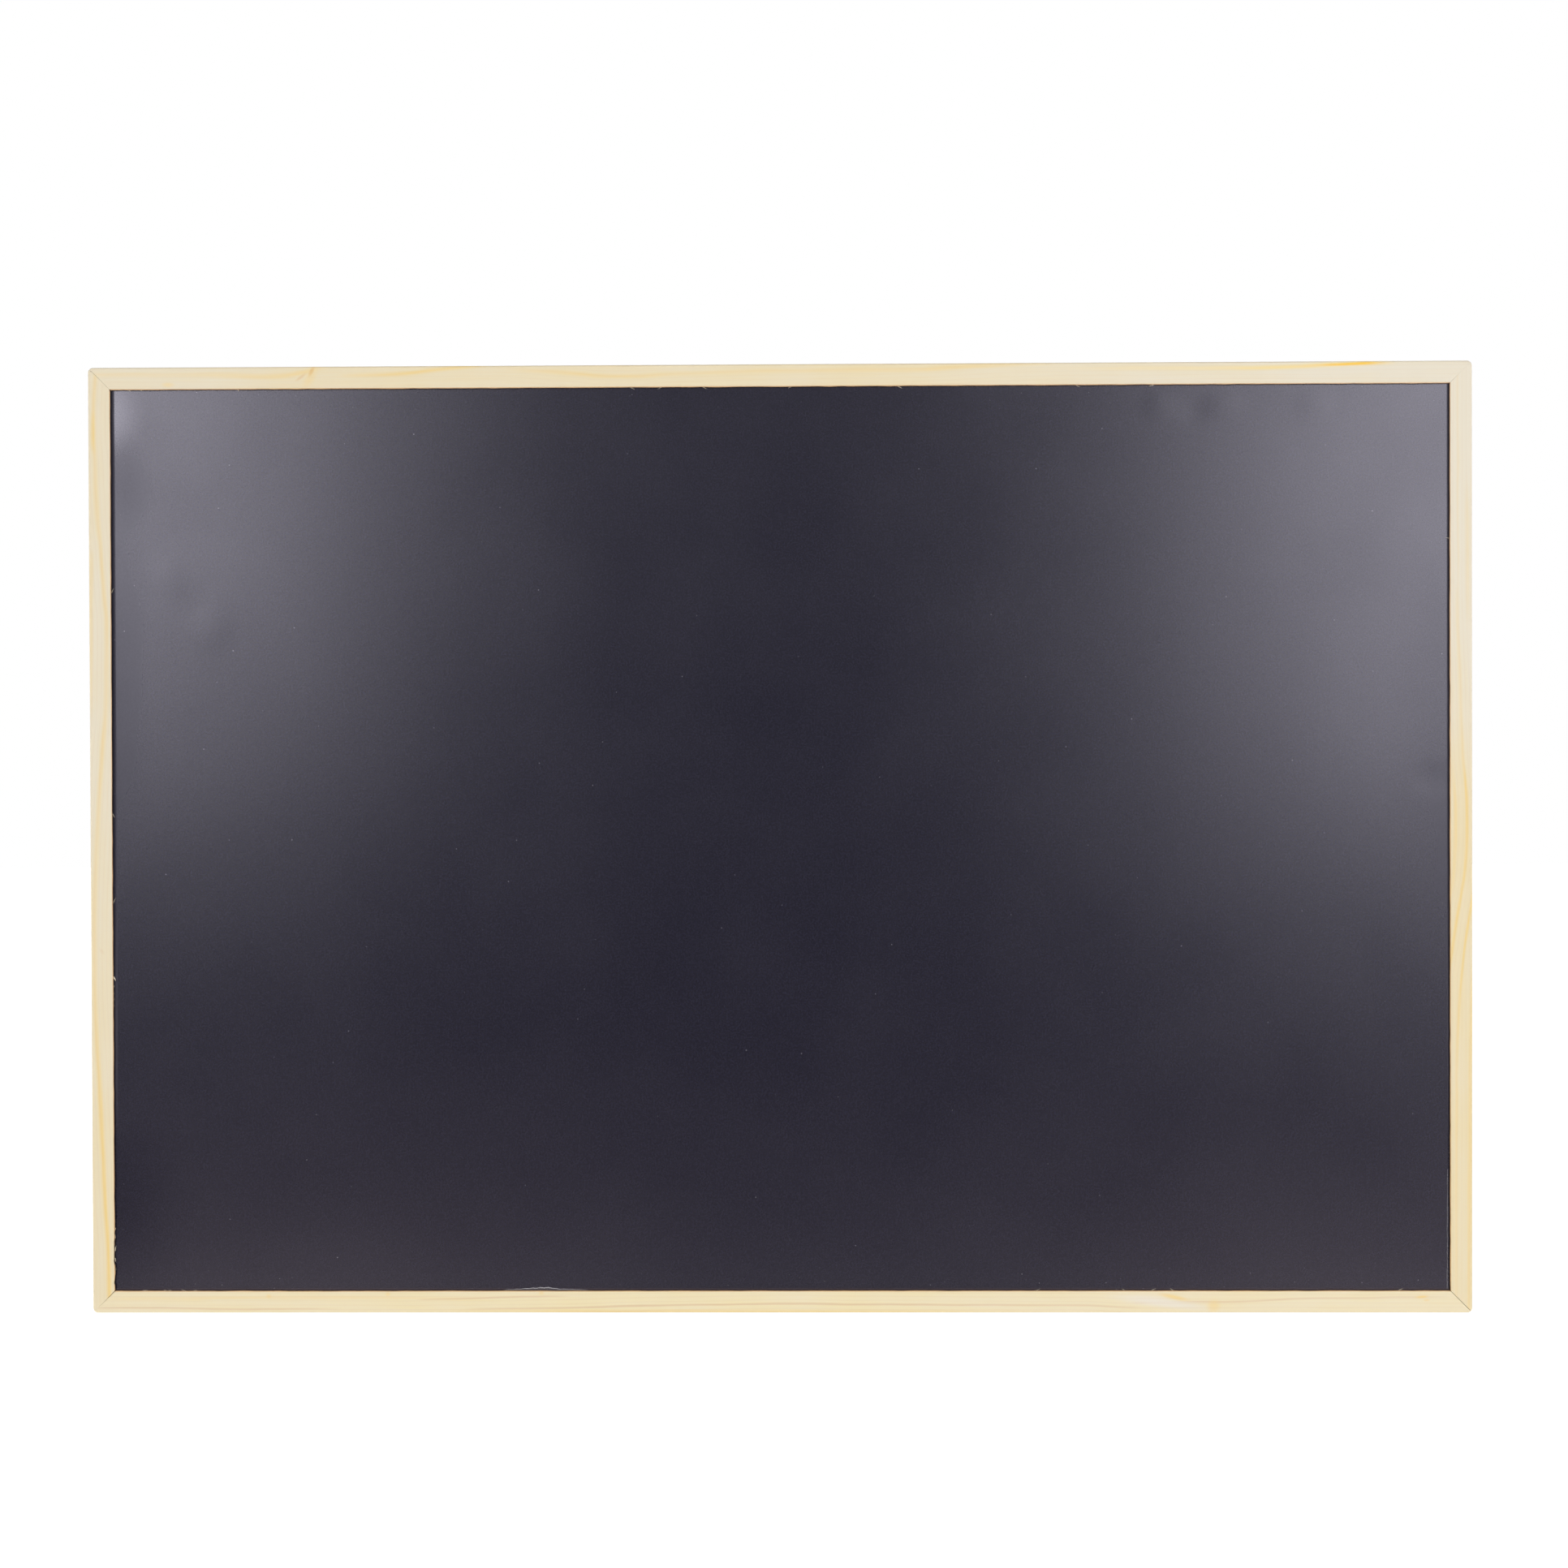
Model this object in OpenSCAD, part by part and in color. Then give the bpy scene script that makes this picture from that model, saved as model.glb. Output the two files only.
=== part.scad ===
// Wall chalkboard: a black chalk panel held in a slim mitred pine frame,
// with two small ring hangers on the back. Sizes are in millimetres.
// X runs along the width, Z is up and the writing side faces -Y.
// The origin is the middle of the top rail's back face.

/* [Frame] */
// Overall width of the board
board_w = 600; // [300:1:1200]
// Overall height of the board
board_h = 412; // [200:1:900]
// Width of each frame rail, seen from the front
rail_w = 9.7; // [8.5:0.1:30]
// Thickness of the frame from front to back
rail_t = 12; // [9:0.5:25]
// Radius of the sanded outer corners, seen from the front
corner_r = 2.2; // [1:0.1:4]
// Radius of the eased outer edges
outer_arris_r = 0.8; // [0.3:0.1:1]
// Radius of the eased inner edges
inner_arris_r = 0.3; // [0.1:0.05:0.6]

/* [Panel] */
// Thickness of the hardboard
core_t = 2.5; // [1.5:0.1:4]
// Thickness of the black chalk film
film_t = 0.3; // [0.1:0.05:1]
// Thickness of the frame's lip in front of the panel
front_lip = 1.6; // [1:0.1:3]
// Depth of the groove that holds the panel's edges
groove_depth = 4.5; // [2.5:0.1:5.5]
// Room in the groove in front of the panel, and as much behind it
panel_play = 0.2; // [0.1:0.05:0.6]
// Room between the panel and the groove's floor at both sides and at the top
panel_gap = 0.6; // [0.2:0.1:1.5]

/* [Corner nails] */
// Length of each leg of a V nail
nail_leg = 5; // [3:0.1:6]
// Thickness of the nail's steel strip
nail_strip_t = 0.4; // [0.3:0.05:0.8]
// Wood left between a nail's bend and the frame's inner edges
nail_inset = 2.1; // [1.5:0.1:3]
// Wood left between a nail's cutting edge and the panel's groove
nail_cover = 1.2; // [0.6:0.1:3]

/* [Ring hangers] */
// Height of the frame's top edge above the hangers' hinge line
hanger_drop = 80; // [20:1:180]
// Width of the hanger's strap
strap_w = 5.2; // [5:0.1:8]
// Thickness of the steel strip that is folded double into the strap
strip_t = 0.6; // [0.4:0.05:0.8]
// Diameter of the ring's wire
wire_d = 1.4; // [1:0.1:2]
// Running clearance around the wire in the strap's loop
wire_clearance = 0.1; // [0.05:0.01:0.1]
// Room between the strap's edge and each leg of the ring
ring_side_gap = 0.6; // [0.4:0.05:1.5]
// Inside radius of the ring's two square bends
ring_bend_r = 0.2; // [0.1:0.05:0.3]
// Distance from the hinge line to the centre of the ring's arc
ring_leg = 8.4; // [6:0.1:14]
// Gap between the hanging ring and the screw's head that it lies over
ring_rest_gap = 0.3; // [0.2:0.05:0.6]

/* [Hanger screws] */
// Diameter of the screw's thread
screw_d = 2.2; // [1.8:0.1:2.6]
// Depth that the thread bites into the wood on each side
thread_bite = 0.3; // [0.15:0.05:0.5]
// Wood left between the screw's tip and the panel's groove
screw_cover = 1.9; // [1:0.1:4]
// Extra depth of the pilot hole beyond the tip
pilot_extra = 0.5; // [0.2:0.1:0.8]
// Length of the screw's point
screw_point = 1.6; // [0.8:0.1:3]
// Diameter of the flat at the end of the point
screw_tip_d = 0.5; // [0.3:0.1:1]
// Diameter of the pan head
head_d = 4.6; // [4:0.1:6]
// Height of the pan head
head_h = 1.6; // [1.2:0.1:2.5]
// Radius of the pan head's rounded edge
head_edge_r = 0.9; // [0.3:0.1:1]
// Length of each slot of the cross recess
recess_l = 2.6; // [1.8:0.1:3]
// Width of each slot of the cross recess
recess_w = 0.6; // [0.4:0.05:0.9]
// Depth of the cross recess
recess_depth = 0.8; // [0.4:0.1:1]
// Room around the thread in the strap's hole
hole_clearance = 0.15; // [0.05:0.05:0.4]

/* [Hidden] */
$fn = 64;

// Overshoot that carries a cut past the face that it opens
cut = 1;
// Direction of each side along X, with the left as seen from the front
left = -1;
right = 1;

// The frame's edges and middle
top_z = rail_w / 2;
bottom_z = top_z - board_h;
mid_z = (top_z + bottom_z) / 2;

// The groove around the panel
groove_w = film_t + core_t + 2 * panel_play;
groove_front_y = front_lip - rail_t;
groove_floor = rail_w - groove_depth;
back_lip = rail_t - front_lip - groove_w;

// The panel, whose bottom edge stands on the floor of the bottom groove
panel_w = board_w - 2 * (groove_floor + panel_gap);
panel_h = board_h - 2 * groove_floor - panel_gap;
panel_bottom_z = bottom_z + groove_floor;
film_front_y = groove_front_y + panel_play;
core_front_y = film_front_y + film_t;

// The V nails, driven flush with the frame's back
nail_bend = rail_w - nail_inset;
nail_h = back_lip - nail_cover;

// The hangers, centred on the width of each stile
hanger_x = board_w / 2 - rail_w / 2;
hanger_z = top_z - hanger_drop;
strap_t = 2 * strip_t;
loop_bore_d = wire_d + 2 * wire_clearance;
loop_d = loop_bore_d + 2 * strip_t;
hinge_y = loop_d / 2;
ring_half_w = strap_w / 2 + ring_side_gap + wire_d / 2;
ring_turn_r = ring_bend_r + wire_d / 2;

// The ring's arc hangs over the middle of the screw's head, at the tilt where it just clears it
strap_hole_drop = ring_leg + ring_half_w;
ring_cross_drop = ring_leg + sqrt(pow(ring_half_w, 2) - pow(head_d / 2, 2));
ring_lift = strap_t + head_h + ring_rest_gap + wire_d / 2 - hinge_y;
ring_tilt = asin(ring_lift / ring_cross_drop);

// The screws and the holes that take them
screw_l = strap_t + back_lip - screw_cover;
strap_hole_d = screw_d + 2 * hole_clearance;
pilot_d = screw_d - 2 * thread_bite;
pilot_depth = screw_l - strap_t + pilot_extra;

// Waste outside a rounded corner at the origin, whose wood lies toward +x and +y
module corner_waste(r) {
    difference() {
        translate([-cut, -cut])
            square(r + cut);
        translate([r, r])
            circle(r);
    }
}

// Section of a rail: x is the board's Y, and y falls from the outer edge at 0
module rail_section() {
    difference() {
        translate([-rail_t, -rail_w])
            square([rail_t, rail_w]);
        translate([groove_front_y, -rail_w - cut])
            square([groove_w, groove_depth + cut]);
        translate([-rail_t, -rail_w])
            corner_waste(inner_arris_r);
        translate([0, -rail_w])
            mirror([1, 0])
                corner_waste(inner_arris_r);
        translate([-rail_t, 0])
            mirror([0, 1])
                corner_waste(outer_arris_r);
        rotate(180)
            corner_waste(outer_arris_r);
    }
}

// A length of rail, cut at both mitres
module rail_blank(rail_l) {
    outer_x = rail_l / 2 + cut;
    inner_x = rail_l / 2 - rail_w - cut;
    outline = [
        [-outer_x, cut], [outer_x, cut], [inner_x, -rail_w - cut], [-inner_x, -rail_w - cut]
    ];
    intersection() {
        rotate([90, 0, 90])
            linear_extrude(rail_l, center = true)
                rail_section();
        translate([0, cut, 0])
            rotate([90, 0, 0])
                linear_extrude(rail_t + 2 * cut)
                    polygon(outline);
    }
}

// Waste outside a rounded corner of the frame, about the middle of the corner's arc
module corner_turn_waste() {
    rotate([90, 0, 0])
        rotate_extrude(angle = 90)
            difference() {
                square([2 * corner_r, rail_t]);
                translate([corner_r, 0])
                    rotate(-90)
                        rail_section();
            }
}

// A V nail whose bend lies on the mitre and whose legs run out from it, one in each rail.
// The origin is the frame's outer corner, with the wood toward -x and -z.
module v_nail() {
    tip = nail_leg - nail_bend;
    fold = nail_strip_t - nail_bend;
    outline = [
        [-nail_bend, -nail_bend], [tip, -nail_bend], [tip, fold],
        [fold, fold], [fold, tip], [-nail_bend, tip]
    ];
    rotate([90, 0, 0])
        linear_extrude(nail_h)
            polygon(outline);
}

// One side of the frame, lying along X with its outer edge up at z = 0
module rail(rail_l) {
    difference() {
        rail_blank(rail_l);
        for (end = [0, 1])
            mirror([end, 0, 0])
                translate([rail_l / 2 - corner_r, 0, -corner_r])
                    corner_turn_waste();
        translate([rail_l / 2, 0, 0])
            v_nail();
        translate([-rail_l / 2, 0, 0])
            rotate([0, -90, 0])
                v_nail();
    }
}

// Puts its children on the stile's back, with the hinge line's height at the origin
module at_hanger(side) {
    translate([side * hanger_x, 0, hanger_z])
        children();
}

// An upright side of the frame, with the pilot hole of its hanger's screw
module stile(side) {
    difference() {
        translate([side * board_w / 2, 0, mid_z])
            rotate([0, side * 90, 0])
                rail(board_h);
        at_hanger(side)
            translate([0, cut, -strap_hole_drop])
                rotate([90, 0, 0])
                    cylinder(h = pilot_depth + cut, d = pilot_d);
    }
}

module top_rail() {
    color("blanchedalmond")
        translate([0, 0, top_z])
            rail(board_w);
}

module bottom_rail() {
    color("blanchedalmond")
        translate([0, 0, bottom_z])
            rotate([0, 180, 0])
                rail(board_w);
}

module left_stile() {
    color("blanchedalmond")
        stile(left);
}

module right_stile() {
    color("blanchedalmond")
        stile(right);
}

// A sheet of the panel's outline, from its front face back
module panel_sheet(front_y, sheet_t) {
    translate([-panel_w / 2, front_y, panel_bottom_z])
        cube([panel_w, sheet_t, panel_h]);
}

module hardboard_core() {
    color("saddlebrown")
        panel_sheet(core_front_y, core_t);
}

module chalk_film() {
    color("#26252b")
        panel_sheet(film_front_y, film_t);
}

module corner_v_nails() {
    color("silver")
        for (quarter = [0 : 3]) {
            corner_x = quarter < 2 ? board_w / 2 : -board_w / 2;
            corner_z = quarter == 0 || quarter == 3 ? top_z : bottom_z;
            translate([corner_x, 0, corner_z])
                rotate([0, 90 * quarter, 0])
                    v_nail();
        }
}

// A folded strap with the ring's loop at its top and the screw's hole in its round end
module hanger_strap() {
    difference() {
        union() {
            rotate([90, 0, 90])
                linear_extrude(strap_w, center = true)
                    union() {
                        translate([hinge_y, 0])
                            circle(d = loop_d);
                        translate([0, -strap_hole_drop])
                            square([strap_t, strap_hole_drop]);
                    }
            translate([0, strap_t, -strap_hole_drop])
                rotate([90, 0, 0])
                    cylinder(h = strap_t, d = strap_w);
        }
        translate([0, hinge_y, 0])
            rotate([0, 90, 0])
                cylinder(h = strap_w + 2 * cut, d = loop_bore_d, center = true);
        translate([0, strap_t + cut, -strap_hole_drop])
            rotate([90, 0, 0])
                cylinder(h = strap_t + 2 * cut, d = strap_hole_d);
    }
}

module left_hanger_strap() {
    color("lightsteelblue")
        at_hanger(left)
            hanger_strap();
}

module right_hanger_strap() {
    color("lightsteelblue")
        at_hanger(right)
            hanger_strap();
}

// A bend of the ring's wire about the origin, in the plane of X and Z
module wire_bend(bend_r, start, turn) {
    rotate([90, 0, 0])
        rotate_extrude(angle = turn, start = start)
            translate([bend_r, 0])
                circle(d = wire_d);
}

// A D-shaped wire ring, hung from the hinge line at the origin and tilted off the screw's head
module hanger_ring() {
    bar_half = ring_half_w - ring_turn_r;
    rotate([ring_tilt, 0, 0])
        union() {
            rotate([0, 90, 0])
                cylinder(h = 2 * bar_half, d = wire_d, center = true);
            for (end = [0, 1])
                mirror([end, 0, 0]) {
                    translate([bar_half, 0, -ring_turn_r])
                        wire_bend(ring_turn_r, 0, 90);
                    translate([ring_half_w, 0, -ring_leg])
                        cylinder(h = ring_leg - ring_turn_r, d = wire_d);
                }
            translate([0, 0, -ring_leg])
                wire_bend(ring_half_w, 180, 180);
        }
}

module left_hanger_ring() {
    color("silver")
        at_hanger(left)
            translate([0, hinge_y, 0])
                hanger_ring();
}

module right_hanger_ring() {
    color("silver")
        at_hanger(right)
            translate([0, hinge_y, 0])
                hanger_ring();
}

// Half section of a screw: x is the radius and y runs out of the wood, with 0 under the head
module screw_section() {
    difference() {
        square([head_d / 2, head_h]);
        translate([head_d / 2, head_h])
            rotate(180)
                corner_waste(head_edge_r);
    }
    shank = [
        [0, 0], [screw_d / 2, 0], [screw_d / 2, screw_point - screw_l],
        [screw_tip_d / 2, -screw_l], [0, -screw_l]
    ];
    polygon(shank);
}

// A pan-head screw that holds the strap, with a cross recess in its head
module screw() {
    difference() {
        rotate([-90, 0, 0])
            rotate_extrude()
                screw_section();
        for (turn = [0, 90])
            rotate([0, turn, 0])
                translate([-recess_l / 2, head_h - recess_depth, -recess_w / 2])
                    cube([recess_l, recess_depth + cut, recess_w]);
    }
}

module hanger_screws() {
    color("silver")
        for (side = [left, right])
            at_hanger(side)
                translate([0, strap_t, -strap_hole_drop])
                    screw();
}

top_rail();
bottom_rail();
left_stile();
right_stile();
hardboard_core();
chalk_film();
corner_v_nails();
left_hanger_strap();
right_hanger_strap();
left_hanger_ring();
right_hanger_ring();
hanger_screws();
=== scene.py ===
"""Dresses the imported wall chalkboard: pine frame, film, hardboard, steel hangers and a plain studio."""
import logging
import math
from dataclasses import dataclass, field, replace
from enum import Enum
from typing import Any, Callable, Iterable, Union

import bpy
from bpy.types import CurveMapping, Material, Node, NodeSocket, NodeTree, Object
from mathutils import Matrix, Vector


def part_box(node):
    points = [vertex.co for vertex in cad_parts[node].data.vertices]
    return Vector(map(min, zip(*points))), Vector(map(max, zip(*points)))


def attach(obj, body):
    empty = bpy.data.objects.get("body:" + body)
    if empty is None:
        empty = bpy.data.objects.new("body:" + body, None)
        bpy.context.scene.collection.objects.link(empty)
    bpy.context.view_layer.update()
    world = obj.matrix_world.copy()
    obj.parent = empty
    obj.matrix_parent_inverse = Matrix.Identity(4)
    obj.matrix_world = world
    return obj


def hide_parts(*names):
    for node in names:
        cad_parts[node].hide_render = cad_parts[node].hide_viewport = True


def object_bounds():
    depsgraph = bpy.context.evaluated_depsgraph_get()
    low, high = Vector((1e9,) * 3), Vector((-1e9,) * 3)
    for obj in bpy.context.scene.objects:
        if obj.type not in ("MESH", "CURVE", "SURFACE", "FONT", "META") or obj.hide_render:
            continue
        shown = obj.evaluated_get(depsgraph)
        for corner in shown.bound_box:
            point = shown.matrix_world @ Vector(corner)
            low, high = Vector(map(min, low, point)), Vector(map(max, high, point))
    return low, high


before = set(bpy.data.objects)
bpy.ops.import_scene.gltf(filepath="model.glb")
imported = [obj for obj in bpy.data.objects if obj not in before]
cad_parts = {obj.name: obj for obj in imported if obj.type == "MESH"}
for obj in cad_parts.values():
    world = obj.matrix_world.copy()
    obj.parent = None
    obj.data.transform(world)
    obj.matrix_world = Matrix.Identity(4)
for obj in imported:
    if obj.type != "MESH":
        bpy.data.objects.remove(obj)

LOG = logging.getLogger("chalkboard")
CAD_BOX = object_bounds()
MM = 0.001
BOARD = "board"
WHITE = (1.0, 1.0, 1.0, 1.0)

Curve = tuple[tuple[float, float], ...]
Feed = Union[Node, NodeSocket, float, tuple]


class Slot(Enum):
    """The record's material slots, passed along with each new piece."""

    PINE = "pine"
    CHALK_FILM = "chalk_film"


# Helpers


def linear(code: str) -> tuple[float, float, float, float]:
    """Turns an sRGB hex colour into Blender's linear colour.

    Args:
        code: six hex digits with a leading hash.

    Returns:
        Red, green, blue and an alpha of 1.
    """
    levels = [int(code[i:i + 2], 16) / 255 for i in (1, 3, 5)]
    values = [v / 12.92 if v <= 0.04045 else ((v + 0.055) / 1.055) ** 2.4 for v in levels]
    return (values[0], values[1], values[2], 1.0)


def add(tree: NodeTree, kind: str, *feeds: Union[Feed, dict[str, Feed]], **settings: Any) -> Node:
    """Adds a node with its settings and feeds its inputs.

    A feed is a value, a socket, or a node whose first output in use is meant.

    Args:
        tree: the node tree that gets the node.
        kind: the node's type, without its ShaderNode prefix.
        *feeds: feeds for its inputs in use, in order, or one dict of feeds by the inputs' names.
        **settings: the node's own properties.

    Returns:
        The new node.
    """
    node = tree.nodes.new("ShaderNode" + kind)
    for name, value in settings.items():
        setattr(node, name, value)
    if feeds and isinstance(feeds[0], dict):
        pairs = [(node.inputs[name], value) for name, value in feeds[0].items()]
    else:
        pairs = list(zip([socket for socket in node.inputs if socket.enabled], feeds))
    for socket, value in pairs:
        if isinstance(value, Node):
            value = next(output for output in value.outputs if output.enabled)
        if isinstance(value, NodeSocket):
            tree.links.new(value, socket)
        else:
            socket.default_value = value
    return node


def set_points(mapping: CurveMapping, points: Curve) -> None:
    """Lays a curve node's line through given points.

    Args:
        mapping: the node's curve mapping.
        points: places and heights, both from 0 to 1, in order.
    """
    mapping.extend = "HORIZONTAL"
    line = mapping.curves[0]
    line.points[0].location = points[0]
    line.points[-1].location = points[-1]
    for place, height in points[1:-1]:
        line.points.new(place, height)
    for point in line.points:
        point.handle_type = "AUTO_CLAMPED"
    mapping.update()


def new_material(name: str) -> tuple[Material, NodeTree, Node]:
    """Makes a material that has only its coordinates so far.

    Args:
        name: the real material's common name.

    Returns:
        The material, its node tree and its Texture Coordinate node.
    """
    material = bpy.data.materials.new(name)
    material.use_nodes = True
    tree = material.node_tree
    tree.nodes.clear()
    return material, tree, add(tree, "TexCoord")


def on_axis(axis: int, length: float) -> Vector:
    """Gives a vector of some length along an axis."""
    return Vector([length if number == axis else 0.0 for number in range(3)])


def deselect() -> None:
    if bpy.context.object and bpy.context.object.mode != "OBJECT":
        bpy.ops.object.mode_set(mode="OBJECT")
    bpy.ops.object.select_all(action="DESELECT")


def activate(piece: Object) -> None:
    """Makes a piece the only selected and active object.

    Args:
        piece: the piece to work on.
    """
    deselect()
    piece.select_set(True)
    bpy.context.view_layer.objects.active = piece


def edit(piece: Object) -> None:
    """Opens a piece in edit mode with all of it selected.

    Args:
        piece: the piece to work on.
    """
    activate(piece)
    bpy.ops.object.mode_set(mode="EDIT")
    bpy.ops.mesh.select_all(action="SELECT")


def cut_across(axis: int, places: Iterable[float]) -> None:
    """Cuts the piece that is open in edit mode square across an axis.

    Args:
        axis: the number of the axis.
        places: where on it the cuts go.
    """
    for place in places:
        bpy.ops.mesh.select_all(action="SELECT")
        bpy.ops.mesh.bisect(plane_co=on_axis(axis, place), plane_no=on_axis(axis, 1.0))


def shift(piece: Object, step: Iterable[float], test: Callable[[Vector], bool], **falloff: Any) -> None:
    """Moves the corners that lie where the test says, in edit mode.

    Args:
        piece: the piece that is open in edit mode.
        step: how far they go.
        test: takes a corner's place and says whether it goes.
        **falloff: settings of proportional editing, where the corners around go along.
    """
    bpy.ops.mesh.select_mode(type="VERT")
    bpy.ops.mesh.select_all(action="DESELECT")
    bpy.ops.object.mode_set(mode="OBJECT")
    for corner in piece.data.vertices:
        corner.select = test(corner.co)
    bpy.ops.object.mode_set(mode="EDIT")
    bpy.ops.transform.translate(value=step, **falloff)


def finish_with(piece: Object, kind: str, **settings: Any) -> None:
    """Gives a piece a modifier and applies it.

    Args:
        piece: the piece, in any mode.
        kind: the modifier's type.
        **settings: the modifier's own properties.
    """
    activate(piece)
    bpy.ops.object.modifier_add(type=kind)
    modifier = piece.modifiers[-1]
    for name, value in settings.items():
        setattr(modifier, name, value)
    bpy.ops.object.modifier_apply(modifier=modifier.name)


def settle(piece: Object, name: str) -> Object:
    """Names a new piece and puts its place into its mesh.

    Args:
        piece: the piece, in any mode.
        name: its name.

    Returns:
        The piece, at the origin, unturned and unscaled.
    """
    activate(piece)
    bpy.ops.object.transform_apply(location=True, rotation=True, scale=True)
    piece.name = piece.data.name = name
    return piece


def smooth(piece: Object, angle: float = 35.0) -> None:
    """Shades a piece smooth, with its flat faces kept flat up to their rounded edges.

    Args:
        piece: the piece.
        angle: the angle in degrees past which an edge stays sharp.
    """
    activate(piece)
    bpy.ops.object.shade_smooth_by_angle(angle=math.radians(angle))
    finish_with(piece, "WEIGHTED_NORMAL", keep_sharp=True)


def dress(piece: Object, material: Material) -> None:
    """Gives a piece or a CAD node one material all over.

    Args:
        piece: the object.
        material: its finish.
    """
    if piece.material_slots:
        for slot in piece.material_slots:
            slot.material = material
    else:
        piece.data.materials.append(material)


def hand_over(piece: Object, slot: Slot, *nodes: str) -> None:
    """Rides a piece on the board and hides the CAD nodes it stands for.

    Args:
        piece: the finished piece.
        slot: the record's material slot; not used.
        *nodes: the CAD nodes that it replaces.
    """
    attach(piece, BOARD)
    if nodes:
        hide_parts(*nodes)
    LOG.info("%s: %d faces, on %s", piece.name, len(piece.data.polygons), BOARD)


# Finishes, with their lengths in millimetres


class Hue(Enum):
    """What a band or a patch of the grain is tinted with."""

    YELLOW = "#EDCF86"
    RESIN = "#FAC840"
    STRAW = "#F3DA92"
    AMBER = "#DDB272"
    RED = "#D0A87E"
    PALE = "#E9E1D2"


@dataclass(frozen=True)
class Band:
    """A soft stripe of grain: its path and strength along the rail, and its half width, in mm."""

    path: Curve
    strength: Curve
    half_width: float = 1.7
    hue: Hue = Hue.YELLOW


@dataclass(frozen=True)
class Patch:
    """A knot mark or a cloud of colour: its middle and half sizes in mm, its turn and its strength."""

    along: float
    across: float
    half_length: float
    half_width: float
    turn: float = 0.0
    strength: float = 0.4
    hue: Hue = Hue.YELLOW


@dataclass(frozen=True)
class RailGrain:
    """How the grain of one rail runs.

    Lengths are in millimetres: along from the left or top end, across from the outer edge.
    """

    along_axis: int
    along_sign: int
    along_start: float
    across_axis: int
    across_sign: int
    across_start: float
    length: float
    tint: Curve
    bands: tuple[Band, ...]
    patches: tuple[Patch, ...] = ()
    fine_lines: float = 0.15


@dataclass(frozen=True)
class Wood:
    """The nodes that say where a point of a rail's wood lies, in millimetres, and two kinds of noise.

    Share is the place along the rail from 0 to 1, and rings the place across its growth rings.
    """

    tree: NodeTree
    grain: RailGrain
    along: Feed
    across: Feed
    depth: Feed
    space: Feed
    share: Feed
    rings: Feed
    wander: Feed
    fibre: Feed


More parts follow.
